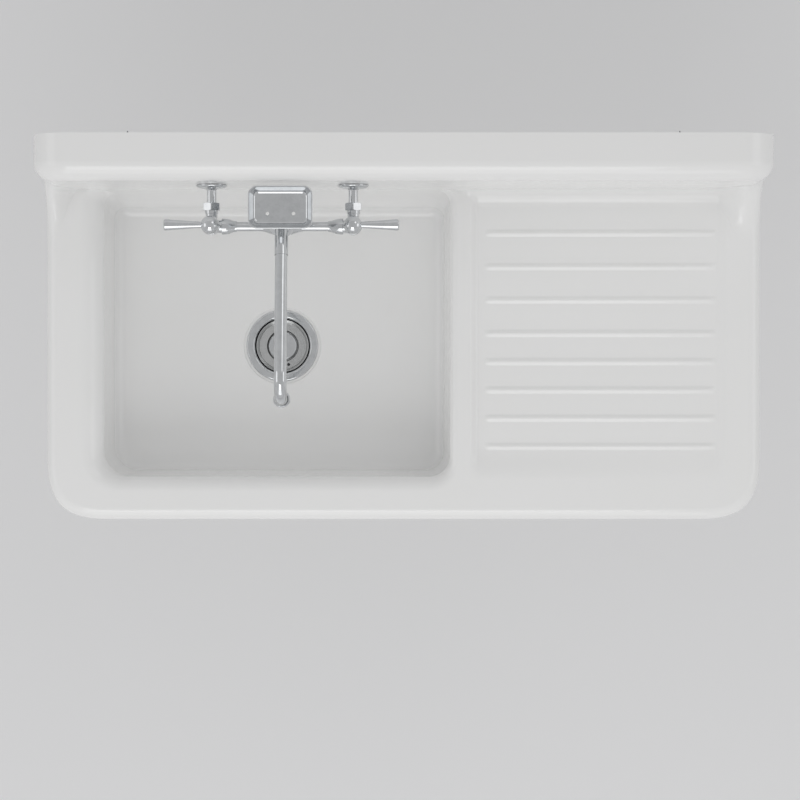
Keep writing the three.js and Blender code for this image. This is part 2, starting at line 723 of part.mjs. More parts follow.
/** A round-headed screw through the hanger into the wall. */
function hangerScrew() {
  const seat = HANGER_PLATE + SEAT_GAP;
  const profile = [
    [0, -SCREW_IN_WALL],
    [SCREW_RADIUS, -SCREW_IN_WALL + 2 * SCREW_RADIUS],
    [SCREW_RADIUS, seat],
    [SCREW_HEAD_RADIUS, seat],
    [SCREW_HEAD_RADIUS * 0.9, seat + SCREW_HEAD_HEIGHT * 0.6],
    [SCREW_HEAD_RADIUS * 0.5, seat + SCREW_HEAD_HEIGHT],
    [0, seat + SCREW_HEAD_HEIGHT],
  ];
  return turned(profile, 'front', ROUND_SMALL);
}

// ---------------------------------------------------------------- drain

// Heights here are measured from the seat in the bowl's floor.
const CUP_RADIUS = DRAIN_HOLE_RADIUS - SEAT_GAP - 1;
const CUP_INNER = CUP_RADIUS - STRAINER_WALL;
const SPIGOT_BORE = SPIGOT_RADIUS - 2.2 * STRAINER_WALL;
const CUP_FLOOR = -STRAINER_CUP_DEPTH;
const SPIGOT_END = CUP_FLOOR - SPIGOT_LENGTH;
const GASKET_TOP = -IRON - SEAT_GAP;
const FRICTION_TOP = GASKET_TOP - GASKET_THICKNESS - SEAT_GAP;
const DRAIN_NUT_TOP = FRICTION_TOP - FRICTION_WASHER_THICKNESS - SEAT_GAP;
const TAIL_WASHER = 2;
const TAIL_TOP = SPIGOT_END - 2 * SEAT_GAP - TAIL_WASHER;

/** The strainer's body: a pressed flange and cup with a threaded spigot below. */
function strainerBody() {
  const nutEnd = DRAIN_NUT_TOP - DRAIN_NUT_HEIGHT;
  const profile = [
    [SPIGOT_BORE, SPIGOT_END],
    [SPIGOT_RADIUS, SPIGOT_END],
    [SPIGOT_RADIUS, CUP_FLOOR - 2 * STRAINER_WALL],
    [CUP_INNER * 0.86, CUP_FLOOR + STRAINER_WALL],
    [CUP_RADIUS, nutEnd - 1],
    [CUP_RADIUS, SEAT_GAP],
    [SEAT_RADIUS - 2.5, SEAT_GAP],
    [SEAT_RADIUS - 3, 1.6],
    [SEAT_RADIUS - 8, 2.7],
    [CUP_RADIUS + 1, 2.4],
    [CUP_RADIUS - 0.6, 1],
    [CUP_INNER, -3],
    [CUP_INNER, nutEnd],
    [CUP_INNER * 0.84, CUP_FLOOR + 4],
    [BASKET_WELL_RADIUS + 3, CUP_FLOOR],
    [SPIGOT_BORE, CUP_FLOOR],
  ];
  return turned(profile, 'up', ROUND_LARGE);
}

/** The large lugged nut that pulls the strainer down on the bowl's floor. */
function strainerLocknut() {
  const outer = new THREE.Shape();
  const lugs = 6;
  const root = CUP_RADIUS + 8;
  const tip = SEAT_RADIUS;
  for (let i = 0; i < lugs; i += 1) {
    const middle = (i * 2 * Math.PI) / lugs;
    for (const [turn, radius] of [[-0.3, root], [-0.11, root], [-0.1, tip], [0.1, tip], [0.11, root], [0.3, root]]) {
      const [x, y] = [radius * Math.cos(middle + turn), radius * Math.sin(middle + turn)];
      if (i === 0 && turn === -0.3) outer.moveTo(x, y);
      else outer.lineTo(x, y);
    }
  }
  const blank = slab(outer, DRAIN_NUT_TOP - DRAIN_NUT_HEIGHT, DRAIN_NUT_TOP);
  const bore = bar(CUP_RADIUS + SEAT_GAP, DRAIN_NUT_TOP - DRAIN_NUT_HEIGHT - 1, DRAIN_NUT_TOP + 1, 'up', ROUND_LARGE);
  return cut(blank, bore);
}

/** The outlet tube below the strainer, with the flange that the slip nut holds. */
function tailpiece() {
  const bore = TAILPIECE_RADIUS - TAILPIECE_WALL;
  const profile = [
    [bore, TAIL_TOP - TAILPIECE_LENGTH],
    [TAILPIECE_RADIUS, TAIL_TOP - TAILPIECE_LENGTH],
    [TAILPIECE_RADIUS, TAIL_TOP - TAIL_WASHER],
    [SPIGOT_RADIUS - 1, TAIL_TOP - TAIL_WASHER],
    [SPIGOT_RADIUS - 1, TAIL_TOP],
    [bore, TAIL_TOP],
  ];
  return turned(profile, 'up', ROUND_LARGE);
}

/** The slip nut: a hexagon with a bore for the spigot's thread and a lip under the tailpiece's flange. */
function slipNut() {
  const lip = TAIL_TOP - TAIL_WASHER - SEAT_GAP;
  const bottom = lip - 4;
  const blank = slab(hexagon(2 * (SPIGOT_RADIUS + 5)), bottom, bottom + SLIP_NUT_HEIGHT);
  const bore = bar(SPIGOT_RADIUS + SEAT_GAP, lip, bottom + SLIP_NUT_HEIGHT + 1, 'up', ROUND_LARGE);
  const lipBore = bar(TAILPIECE_RADIUS + SEAT_GAP, bottom - 1, lip + 1, 'up', ROUND_LARGE);
  return cut(blank, bore, lipBore);
}

const BASKET_FLOOR = CUP_FLOOR + SEAT_GAP + 3 + SEAT_GAP;
const BASKET_CAP_TOP = -BASKET_LEDGE_DEPTH + 5.5;

/** The basket: a rim, a ledge and a well, pressed from one sheet, with holes for the water. */
function strainerBasket() {
  const [rim, ledge, well] = [BASKET_RIM_RADIUS, BASKET_FLOOR_RADIUS, BASKET_WELL_RADIUS];
  const top = -4.5;
  const ledgeTop = -BASKET_LEDGE_DEPTH;
  const profile = [
    [STEM_RADIUS, BASKET_FLOOR],
    [well + BASKET_SHEET - 1, BASKET_FLOOR],
    [well + BASKET_SHEET, BASKET_FLOOR + 1],
    [well + BASKET_SHEET, ledgeTop - BASKET_SHEET],
    [ledge + BASKET_SHEET / 2, ledgeTop - BASKET_SHEET],
    [rim, top - BASKET_SHEET],
    [rim, top],
    [rim - BASKET_SHEET, top],
    [ledge, ledgeTop],
    [well, ledgeTop],
    [well, BASKET_FLOOR + BASKET_SHEET],
    [STEM_RADIUS, BASKET_FLOOR + BASKET_SHEET],
  ];
  const overflow = bar(BASKET_HOLE_RADIUS, ledgeTop - 5, ledgeTop + 5, 'up', ROUND_SMALL);
  overflow.translate(9, -(BASKET_WELL_RADIUS + BASKET_FLOOR_RADIUS) * 0.48, 0);
  const holes = spread(1, BASKET_HOLE_COUNT, BASKET_HOLE_COUNT - 1).map((i) => {
    const angle = (i * 2 * Math.PI) / BASKET_HOLE_COUNT;
    const hole = bar(BASKET_HOLE_RADIUS, BASKET_FLOOR - 1, BASKET_FLOOR + 5, 'up', 8);
    return hole.translate(well * 0.66 * Math.cos(angle), well * 0.66 * Math.sin(angle), 0);
  });
  return cut(turned(profile, 'up', ROUND_LARGE), overflow, ...holes);
}

/** The post that joins the basket, its seal and its cap. */
function basketPost() {
  const radius = STEM_RADIUS - SEAT_GAP;
  const collar = BASKET_FLOOR + BASKET_SHEET + SEAT_GAP;
  const profile = [
    [0, CUP_FLOOR + 2 * SEAT_GAP],
    [radius, CUP_FLOOR + 2 * SEAT_GAP],
    [radius, collar],
    [2 * radius, collar],
    [2 * radius, collar + 2],
    [radius, collar + 2],
    [radius, BASKET_CAP_TOP - 1.5 - SEAT_GAP],
    [0, BASKET_CAP_TOP - 1.5 - SEAT_GAP],
  ];
  return turned(profile, 'up', ROUND_SMALL);
}

/** The round cap that is gripped to lift the basket. */
function basketCap() {
  const radius = BASKET_CAP_RADIUS;
  const profile = [
    [0, BASKET_CAP_TOP - 1.5],
    [STEM_RADIUS, BASKET_CAP_TOP - 1.5],
    [STEM_RADIUS, BASKET_CAP_TOP - 4],
    [radius - 1, BASKET_CAP_TOP - 4],
    [radius, BASKET_CAP_TOP - 3],
    [radius, BASKET_CAP_TOP - 1.2],
    [radius - 1.2, BASKET_CAP_TOP],
    [radius * 0.6, BASKET_CAP_TOP - 0.4],
    [0, BASKET_CAP_TOP - 0.5],
  ];
  return turned(profile, 'up', ROUND_LARGE);
}

// ---------------------------------------------------------------- tap: inlets

// Along an inlet, heights are reaches from the wall.
const SHANK_END = UNION_REACH + 4.9;

/** The threaded shank that brings water through the backsplash, with the collar for its union nut. */
function inletShank() {
  const flangeTop = SPLASH_REACH + FLANGE_HEIGHT;
  const profile = [
    [SHANK_BORE_RADIUS, SHANK_BACK_REACH],
    [SHANK_THREAD_RADIUS, SHANK_BACK_REACH],
    [SHANK_THREAD_RADIUS, flangeTop],
    [SHANK_NECK_RADIUS, flangeTop + 2],
    [SHANK_NECK_RADIUS, SHANK_END - 2.5],
    [VALVE_THREAD_RADIUS, SHANK_END - 2.5],
    [VALVE_THREAD_RADIUS, SHANK_END],
    [SHANK_BORE_RADIUS, SHANK_END],
  ];
  return turned(profile, 'front');
}

/** The domed cover flange on the backsplash. */
function wallFlange() {
  const seat = SPLASH_REACH + SEAT_GAP;
  const inner = SHANK_THREAD_RADIUS + SEAT_GAP;
  const dome = spread(0, quarter, 5).map((a) => [
    inner + (FLANGE_RADIUS - inner) * Math.cos(a),
    seat + 1 + (FLANGE_HEIGHT - 1) * Math.sin(a),
  ]);
  return turned([[inner, seat], [FLANGE_RADIUS, seat], ...dome], 'front', ROUND);
}

/** The hexagon union nut between shank and valve. */
function unionNut() {
  const blank = slab(hexagon(UNION_FLATS), -UNION_REACH - UNION_LENGTH, -UNION_REACH, 'front');
  blank.translate(0, -2 * UNION_REACH - UNION_LENGTH, 0);
  const lipEnd = SHANK_END - 2.5 - SEAT_GAP;
  const lip = bar(SHANK_NECK_RADIUS + SEAT_GAP, UNION_REACH - 1, lipEnd + 1, 'front');
  const thread = bar(VALVE_THREAD_RADIUS + SEAT_GAP, lipEnd, UNION_REACH + UNION_LENGTH + 1, 'front');
  return cut(blank, lip, thread);
}

/** The locknut behind the backsplash. */
function shankLocknut(washerBack) {
  const flats = 3 * SHANK_THREAD_RADIUS;
  const front = washerBack - SEAT_GAP;
  const blank = slab(hexagon(flats), 0, SHANK_NUT_HEIGHT, 'front').translate(0, -front + SHANK_NUT_HEIGHT, 0);
  const bore = bar(SHANK_THREAD_RADIUS + SEAT_GAP, front - SHANK_NUT_HEIGHT - 1, front + 1, 'front');
  return cut(blank, bore);
}

// ---------------------------------------------------------------- tap: valves and handles

// Heights on a valve are measured from the water line through inlets and bridge.
const TAIL_END = VALVE_REACH - SHANK_END - SEAT_GAP;
const BONNET_TOP = VALVE_HEIGHT + 3.5;

/** A valve body: an upright barrel with a threaded tail to the wall and a port to the bridge. */
function valveBody(inward) {
  const barrel = turned([
    [0, -VALVE_FOOT],
    [VALVE_RADIUS * 0.45, -VALVE_FOOT],
    [VALVE_RADIUS * 0.85, -VALVE_FOOT + 3],
    [VALVE_RADIUS, -VALVE_FOOT + 8],
    [VALVE_RADIUS, VALVE_HEIGHT - 7],
    [VALVE_RADIUS - 1, VALVE_HEIGHT - 5],
    [VALVE_RADIUS - 1, VALVE_HEIGHT],
    [0, VALVE_HEIGHT],
  ]);
  const tailThread = bar(VALVE_THREAD_RADIUS, -TAIL_END, -TAIL_END + 11, 'front');
  const tailNeck = bar(VALVE_THREAD_RADIUS - 1, -TAIL_END, 0, 'front');
  const port = bar(VALVE_THREAD_RADIUS, 0, VALVE_PORT_LENGTH, 'right');
  const tailBore = bar(SHANK_BORE_RADIUS, -TAIL_END - 1, 0, 'front', ROUND_SMALL);
  const portBore = bar(SHANK_BORE_RADIUS, 0, VALVE_PORT_LENGTH + 1, 'right', ROUND_SMALL);
  const seatBore = bar(CARTRIDGE_RADIUS + SEAT_GAP, 4, VALVE_HEIGHT + 1);
  const riser = bar(STEM_RADIUS, 0, 6, 'up', ROUND_SMALL);
  if (inward < 0) [port, portBore].forEach((g) => g.rotateZ(Math.PI));
  return cut(joined(barrel, tailThread, tailNeck, port), tailBore, portBore, seatBore, riser);
}

/** The cartridge in the valve, which the stem turns in. */
function valveCartridge() {
  return sleeve(STEM_RADIUS + RUNNING_GAP, CARTRIDGE_RADIUS, 4 + SEAT_GAP, VALVE_HEIGHT - SEAT_GAP);
}

/** The bonnet nut that closes the valve round its stem. */
function bonnet() {
  const inner = VALVE_RADIUS - 1 + SEAT_GAP;
  const profile = [
    [inner, BONNET_TOP - BONNET_HEIGHT],
    [VALVE_RADIUS + 1, BONNET_TOP - BONNET_HEIGHT],
    [VALVE_RADIUS + 1, BONNET_TOP - 2],
    [VALVE_RADIUS - 2, BONNET_TOP],
    [STEM_RADIUS + 1.5, BONNET_TOP],
    [STEM_RADIUS + 1.5, VALVE_HEIGHT + SEAT_GAP],
    [inner, VALVE_HEIGHT + SEAT_GAP],
  ];
  return turned(profile);
}

/** The stem, from the cartridge up into the handle. */
function valveStem() {
  return bar(STEM_RADIUS, 8, HANDLE_HEIGHT - INLET_HEIGHT - 2, 'up', ROUND_SMALL);
}

/** A handle: a ball hub with a short skirt and a lever that flares towards its rounded tip. */
function leverHandle(outward) {
  const height = HANDLE_HEIGHT - INLET_HEIGHT;
  const ball = turned(
    spread(-quarter, quarter, 10).map((a) => [
      HANDLE_BALL_RADIUS * Math.cos(a),
      height + HANDLE_BALL_RADIUS * Math.sin(a),
    ]).map(([r, z], i, all) => [i === 0 || i === all.length - 1 ? 0 : r, z]),
  );
  const skirt = bar(HANDLE_BALL_RADIUS * 0.7, BONNET_TOP + RUNNING_GAP, height, 'up');
  const tip = spread(0, quarter, 4).map((a) => [
    LEVER_TIP_RADIUS * Math.cos(a),
    LEVER_LENGTH - LEVER_TIP_RADIUS * 0.6 * (1 - Math.sin(a)),
  ]);
  tip[tip.length - 1][0] = 0;
  const lever = turned([[0, 0], [LEVER_ROOT_RADIUS, 0], [LEVER_ROOT_RADIUS, HANDLE_BALL_RADIUS], ...tip], 'right', 16);
  lever.translate(0, 0, height + LEVER_RISE);
  if (outward < 0) lever.rotateZ(Math.PI);
  const socket = bar(STEM_RADIUS + SEAT_GAP, 0, height - 2 + SEAT_GAP, 'up', ROUND_SMALL);
  const screwHole = bar(SET_SCREW_RADIUS + SEAT_GAP, -HANDLE_BALL_RADIUS - 1, 0, 'front', 8);
  screwHole.translate(0, 0, height - HANDLE_BALL_RADIUS * 0.3);
  return cut(joined(ball, skirt, lever), socket, screwHole);
}

/** The set screw in the back of the hub that grips the stem. */
function handleScrew() {
  const from = STEM_RADIUS + SEAT_GAP;
  const screw = bar(SET_SCREW_RADIUS, -from - 7, -from, 'front', 8);
  return screw.translate(0, 0, HANDLE_HEIGHT - INLET_HEIGHT - HANDLE_BALL_RADIUS * 0.3);
}

// ---------------------------------------------------------------- tap: bridge

const BRIDGE_END = INLET_SPACING / 2 - VALVE_PORT_LENGTH - SEAT_GAP;
const COLLAR = 2.5;

/** The bridge: two tubes brazed to a flared hub that carries the spout and the soap dish's post. */
function bridgeBody() {
  const half = [
    [0, 0],
    [HUB_RADIUS * 0.8, 0],
    [HUB_RADIUS * 0.8, HUB_RADIUS * 0.9],
    [BRIDGE_RADIUS + 1, HUB_RADIUS * 0.9 + HUB_FLARE_LENGTH * 0.7],
    [BRIDGE_RADIUS, HUB_RADIUS * 0.9 + HUB_FLARE_LENGTH],
    [BRIDGE_RADIUS, BRIDGE_END - COLLAR],
    [VALVE_THREAD_RADIUS, BRIDGE_END - COLLAR],
    [VALVE_THREAD_RADIUS, BRIDGE_END],
    [0, BRIDGE_END],
  ];
  const arm = turned(half, 'right');
  const hub = turned([
    [0, -HUB_FOOT],
    [HUB_RADIUS * 0.4, -HUB_FOOT],
    [HUB_RADIUS * 0.85, -HUB_FOOT + 3],
    [HUB_RADIUS, -HUB_FOOT + 8],
    [HUB_RADIUS, HUB_RISE],
    [0, HUB_RISE],
  ]);
  const boss = bar(POST_BOSS_RADIUS, -6, 8).translate(0, POST_BEHIND, 0);
  const web = bar(POST_WEB_RADIUS, -POST_BEHIND, 0, 'front');
  const bores = [
    bar(SHANK_BORE_RADIUS, -BRIDGE_END - 1, BRIDGE_END + 1, 'right', ROUND_SMALL),
    bar(HUB_BORE_RADIUS, -8, HUB_RISE + 1, 'up', ROUND_TURNING),
    bar(POST_RADIUS - 1 + SEAT_GAP, -3, 9, 'up', ROUND_SMALL).translate(0, POST_BEHIND, 0),
  ];
  return cut(joined(arm, arm.clone().rotateZ(Math.PI), hub, boss, web), ...bores);
}

/** The tapered coupling that screws on a valve's port and holds the end of the bridge. */
function bridgeCoupling() {
  const lip = BRIDGE_END - COLLAR - SEAT_GAP;
  const end = BRIDGE_END + SEAT_GAP + 7;
  const profile = [
    [BRIDGE_RADIUS + SEAT_GAP, end - COUPLING_LENGTH],
    [BRIDGE_RADIUS + 1.2, end - COUPLING_LENGTH],
    [VALVE_RADIUS, end - 5],
    [VALVE_RADIUS, end],
    [VALVE_THREAD_RADIUS + SEAT_GAP, end],
    [VALVE_THREAD_RADIUS + SEAT_GAP, lip],
    [BRIDGE_RADIUS + SEAT_GAP, lip],
  ];
  return turned(profile, 'right');
}

/** The ring nut that keeps the spout's collar down on the hub. */
function hubRing() {
  const inner = HUB_RADIUS + SEAT_GAP;
  const collarTop = HUB_RISE + SPOUT_COLLAR + 2 * RUNNING_GAP;
  const foot = HUB_RISE - HUB_RING_GRIP;
  const top = foot + HUB_RING_HEIGHT;
  const profile = [
    [inner, foot],
    [HUB_RADIUS + 2.5, foot],
    [HUB_RADIUS + 2.5, top - 4],
    [HUB_RADIUS - 1.5, top],
    [SPOUT_NECK_RADIUS + RUNNING_GAP, top],
    [SPOUT_NECK_RADIUS + RUNNING_GAP, collarTop],
    [inner, collarTop],
  ];
  return turned(profile, 'up', ROUND_TURNING);
}

// ---------------------------------------------------------------- soap dish

/** A rectangle with round corners, seen from above. */
function roundedRing(width, length, radius, z) {
  const points = [];
  [[1, 1], [-1, 1], [-1, -1], [1, -1]].forEach(([sx, sy], turn) => {
    for (const a of spread(turn * quarter, (turn + 1) * quarter, CORNER_STEPS - 1)) {
      points.push(new THREE.Vector3(
        sx * (width / 2 - radius) + radius * Math.cos(a),
        sy * (length / 2 - radius) + radius * Math.sin(a),
        z,
      ));
    }
  });
  return points;
}

const DISH_BOSS = 5;

/** The soap dish: a shallow tray that flares to its rim, with two drain holes and a boss for its post. */
function soapDish() {
  const ring = (inset, z) =>
    roundedRing(DISH_WIDTH - 2 * inset, DISH_LENGTH - 2 * inset, Math.max(DISH_CORNER - inset / 2, 2), z);
  const outside = loft([ring(DISH_FLARE, 0), ring(DISH_FLARE / 2, 3), ring(0, DISH_DEPTH - 2), ring(0.4, DISH_DEPTH)]);
  const inside = loft([
    ring(DISH_FLARE + DISH_WALL, DISH_WALL),
    ring(DISH_FLARE / 2 + DISH_WALL, DISH_WALL + 3),
    ring(DISH_WALL, DISH_DEPTH - 2),
    ring(DISH_WALL - 0.5, DISH_DEPTH + OVERCUT),
  ]);
  const postY = DISH_REACH - VALVE_REACH + POST_BEHIND;
  const boss = bar(POST_BOSS_RADIUS, -DISH_BOSS, 1).translate(0, postY, 0);
  const socket = bar(POST_RADIUS - 1 + SEAT_GAP, -DISH_BOSS - 1, 1, 'up', ROUND_SMALL).translate(0, postY, 0);
  const holes = [-1, 1].map((side) =>
    bar(DISH_HOLE_RADIUS, -1, DISH_WALL + 1, 'up', ROUND_SMALL).translate(
      (side * DISH_HOLE_SPACING) / 2,
      -DISH_HOLE_OFFSET,
      0,
    ),
  );
  return cut(joined(outside, boss), inside, socket, ...holes);
}

/** The post between the bridge's boss and the dish, with a thinner pin at each end. */
function dishPost() {
  const bottom = 8 + SEAT_GAP;
  const top = DISH_BOTTOM_HEIGHT - INLET_HEIGHT - DISH_BOSS - SEAT_GAP;
  const pin = POST_RADIUS - 1;
  const profile = [
    [0, -2],
    [pin, -2],
    [pin, bottom],
    [POST_RADIUS + 1, bottom],
    [POST_RADIUS + 1, bottom + 3],
    [POST_RADIUS, bottom + 5],
    [POST_RADIUS, top],
    [pin, top],
    [pin, top + DISH_BOSS],
    [0, top + DISH_BOSS],
  ];
  return turned(profile);
}

// ---------------------------------------------------------------- spout

// Heights on the spout are measured from the water line, reaches from its pivot.
const SPOUT_ROOT = SPOUT_ROOT_HEIGHT - INLET_HEIGHT;
const RISE = degrees(SPOUT_RISE_ANGLE);
const STUB_FOOT = -6;
const O_RING_HEIGHTS = [0, 7];

/** The middle line of the spout: points and directions from the arm, up the slope and round the bend. */
function spoutLine(from) {
  const slope = Math.tan(RISE);
  const stops = [from, SPOUT_STRAIGHT_END].map((reach) => ({ reach, z: SPOUT_ROOT + reach * slope, angle: RISE }));
  const centreReach = SPOUT_STRAIGHT_END + SPOUT_BEND_RADIUS * Math.sin(RISE);
  const centreZ = SPOUT_ROOT + SPOUT_STRAIGHT_END * slope - SPOUT_BEND_RADIUS * Math.cos(RISE);
  for (const angle of spread(RISE, -quarter, 8).slice(1)) {
    stops.push({
      reach: centreReach - SPOUT_BEND_RADIUS * Math.sin(angle),
      z: centreZ + SPOUT_BEND_RADIUS * Math.cos(angle),
      angle,
    });
  }
  const last = stops[stops.length - 1];
  stops.push({ ...last, z: last.z - SPOUT_DROP });
  return stops;
}

/** A round solid of one radius along stops of the spout's middle line. */
function alongSpout(stops, radius, sides = ROUND) {
  const rings = stops.map(({ reach, z, angle }) =>
    spread(0, sides - 1, sides - 1).map((i) => {
      const turn = (2 * Math.PI * i) / sides;
      const [across, up] = [radius * Math.cos(turn), radius * Math.sin(turn)];
      return at(across, reach - up * Math.sin(angle), z + up * Math.cos(angle));
    }),
  );
  return loft(rings);
}

/** A stretch of the spout's straight line between two distances. */
function straightStops(from, to) {
  return [from, to].map((reach) => ({ reach, z: SPOUT_ROOT + reach * Math.tan(RISE), angle: RISE }));
}

/** The spout's base: a stub in the hub, a collar, a neck and a ball elbow with a short arm. */
function spoutBase() {
  const foot = HUB_BORE_RADIUS - RUNNING_GAP;
  const groove = foot - O_RING_SECTION;
  const stub = [[0, STUB_FOOT], [foot, STUB_FOOT]];
  for (const height of O_RING_HEIGHTS) {
    stub.push([foot, height - 1.3], [groove, height - 1.3], [groove, height + 1.3], [foot, height + 1.3]);
  }
  stub.push(
    [foot, HUB_RISE + RUNNING_GAP],
    [HUB_RADIUS - 1.5, HUB_RISE + RUNNING_GAP],
    [HUB_RADIUS - 1.5, HUB_RISE + RUNNING_GAP + SPOUT_COLLAR],
    [SPOUT_NECK_RADIUS, HUB_RISE + RUNNING_GAP + SPOUT_COLLAR],
    [SPOUT_NECK_RADIUS, SPOUT_ROOT],
    [0, SPOUT_ROOT],
  );
  const elbow = turned(
    spread(-quarter, quarter, 8).map((a, i) => [
      i === 0 || i === 8 ? 0 : SPOUT_ELBOW_RADIUS * Math.cos(a),
      SPOUT_ROOT + SPOUT_ELBOW_RADIUS * Math.sin(a),
    ]),
  );
  const arm = alongSpout(straightStops(0, SPOUT_ARM_LENGTH), SPOUT_ARM_RADIUS);
  const socket = alongSpout(straightStops(SPOUT_ARM_LENGTH - 10, SPOUT_ARM_LENGTH + 2), SPOUT_TUBE_RADIUS + SEAT_GAP);
  const armBore = alongSpout(straightStops(0, SPOUT_ARM_LENGTH), SHANK_BORE_RADIUS, ROUND_SMALL);
  const riser = bar(SHANK_BORE_RADIUS, STUB_FOOT - 1, SPOUT_ROOT, 'up', ROUND_SMALL);
  return cut(joined(turned(stub, 'up', ROUND_TURNING), elbow, arm), socket, armBore, riser);
}

/** The spout's tube, open from end to end. */
function spoutTube() {
  const start = SPOUT_ARM_LENGTH - 10 + SEAT_GAP;
  const inner = spoutLine(start - 2);
  inner[inner.length - 1].z -= 2;
  return cut(
    alongSpout(spoutLine(start), SPOUT_TUBE_RADIUS),
    alongSpout(inner, SPOUT_TUBE_RADIUS - SPOUT_TUBE_WALL),
  );
}

/** A sealing ring in a groove of the spout's stub. */
function oRing(height) {
  const outer = HUB_BORE_RADIUS - RUNNING_GAP + 0.05;
  const inner = outer - O_RING_SECTION + SEAT_GAP;
  return sleeve(inner, outer, height - 1, height + 1, 'up', ROUND_TURNING);
}

/** The aerator's shell on the end of the spout. */
function aeratorShell() {
  const radius = AERATOR_RADIUS;
  const ledge = 5;
  const profile = [
    [radius - 2, 0],
    [radius - 1, 0],
    [radius, 1.2],
    [radius, AERATOR_LENGTH - 2],
    [radius - 1, AERATOR_LENGTH],
    [SPOUT_TUBE_RADIUS + SEAT_GAP, AERATOR_LENGTH],
    [SPOUT_TUBE_RADIUS + SEAT_GAP, ledge + 2],
    [SPOUT_TUBE_RADIUS - 1, ledge + 2],
    [SPOUT_TUBE_RADIUS - 1, ledge],
    [radius - 2, ledge],
  ];
  return turned(profile);
}

/** The aerator's screen: a disc with a ring of holes round a middle one. */
function aeratorScreen() {
  const disc = bar(AERATOR_RADIUS - 2 - SEAT_GAP, 1.2, 5 - SEAT_GAP);
  const places = [[0, 0], ...spread(0, 5, 5).map((i) => [(i * Math.PI) / 3, AERATOR_RADIUS * 0.45])];
  const holes = places.map(([angle, radius]) =>
    bar(AERATOR_HOLE_RADIUS, 0, 6, 'up', 8).translate(radius * Math.cos(angle), radius * Math.sin(angle), 0),
  );
  return cut(disc, ...holes);
}

// ---------------------------------------------------------------- assembly

const sink = new THREE.Group();

/** Adds a named piece in its finish to a group. */
function add(group, name, geometry, finish) {
  const mesh = new THREE.Mesh(geometry, new THREE.MeshStandardMaterial(FINISHES[finish]));
  mesh.name = name;
  group.add(mesh);
  return mesh;
}

/** A group placed in the sink's frame, at x along the wall, at a reach out from it and at height z. */
function placed(parent, x, reach, z) {
  const group = new THREE.Group();
  group.position.copy(at(x, reach, z));
  parent.add(group);
  return group;
}

add(sink, 'sink_casting', sinkCasting(), 'enamel');

[['left', -1], ['right', 1]].forEach(([side, sign], i) => {
  const hanger = placed(sink, sign * HANGER_X, 0, 0);
  add(hanger, `wall_hanger_${side}`, wallHanger(), 'zinc');
  hangerScrewHeights().forEach((z, k) => {
    add(placed(hanger, 0, 0, z), `hanger_screw_${2 * i + k + 1}`, hangerScrew(), 'zinc');
  });
});

const drain = placed(sink, DRAIN_X, DRAIN_REACH, SEAT_HEIGHT);
const washerOuter = SEAT_RADIUS + IRON - 2;
const gasketBottom = GASKET_TOP - GASKET_THICKNESS;
const frictionBottom = FRICTION_TOP - FRICTION_WASHER_THICKNESS;
const tailWasherTop = SPIGOT_END - SEAT_GAP;
const boreRadius = CUP_RADIUS + SEAT_GAP;
add(drain, 'strainer_body', strainerBody(), 'chrome');
add(drain, 'strainer_gasket', sleeve(boreRadius, washerOuter, gasketBottom, GASKET_TOP, 'up', ROUND_LARGE), 'rubber');
add(
  drain,
  'friction_washer',
  sleeve(boreRadius, washerOuter - 2, frictionBottom, FRICTION_TOP, 'up', ROUND_LARGE),
  'fibre',
);
add(drain, 'strainer_locknut', strainerLocknut(), 'brass');
add(drain, 'tailpiece', tailpiece(), 'chrome');
add(
  drain,
  'tailpiece_washer',
  sleeve(TAILPIECE_RADIUS, SPIGOT_RADIUS - 0.5, tailWasherTop - TAIL_WASHER, tailWasherTop),
  'rubber',
);
add(drain, 'slip_nut', slipNut(), 'chrome');

const basket = placed(drain, 0, 0, 0);
add(basket, 'strainer_basket', strainerBasket(), 'steel');
add(basket, 'basket_post', basketPost(), 'steel');
add(basket, 'basket_cap', basketCap(), 'chrome');
add(
  basket,
  'basket_seal',
  sleeve(STEM_RADIUS, BASKET_WELL_RADIUS + 1.5, CUP_FLOOR + SEAT_GAP, BASKET_FLOOR - SEAT_GAP),
  'rubber',
);

const washerFront = SPLASH_BACK - SEAT_GAP;
const washerBack = washerFront - SHANK_WASHER_THICKNESS;
for (const [side, sign] of [['left', -1], ['right', 1]]) {
  const x = TAP_X + (sign * INLET_SPACING) / 2;
  const inlet = placed(sink, x, 0, INLET_HEIGHT);
  const shankGap = SHANK_THREAD_RADIUS + SEAT_GAP;
  add(inlet, `inlet_shank_${side}`, inletShank(), 'chrome');
  add(inlet, `shank_washer_${side}`, sleeve(shankGap, shankGap + 7, washerBack, washerFront, 'front'), 'rubber');
  add(inlet, `shank_locknut_${side}`, shankLocknut(washerBack), 'brass');
  add(inlet, `wall_flange_${side}`, wallFlange(), 'chrome');
  add(inlet, `union_nut_${side}`, unionNut(), 'chrome');
  const valve = placed(sink, x, VALVE_REACH, INLET_HEIGHT);
  add(valve, `valve_body_${side}`, valveBody(-sign), 'chrome');
  add(valve, `valve_cartridge_${side}`, valveCartridge(), 'plastic');
  add(valve, `bonnet_${side}`, bonnet(), 'chrome');
  const handle = placed(valve, 0, 0, 0);
  add(handle, `valve_stem_${side}`, valveStem(), 'brass');
  add(handle, `lever_handle_${side}`, leverHandle(sign), 'chrome');
  add(handle, `handle_screw_${side}`, handleScrew(), 'steel');
}

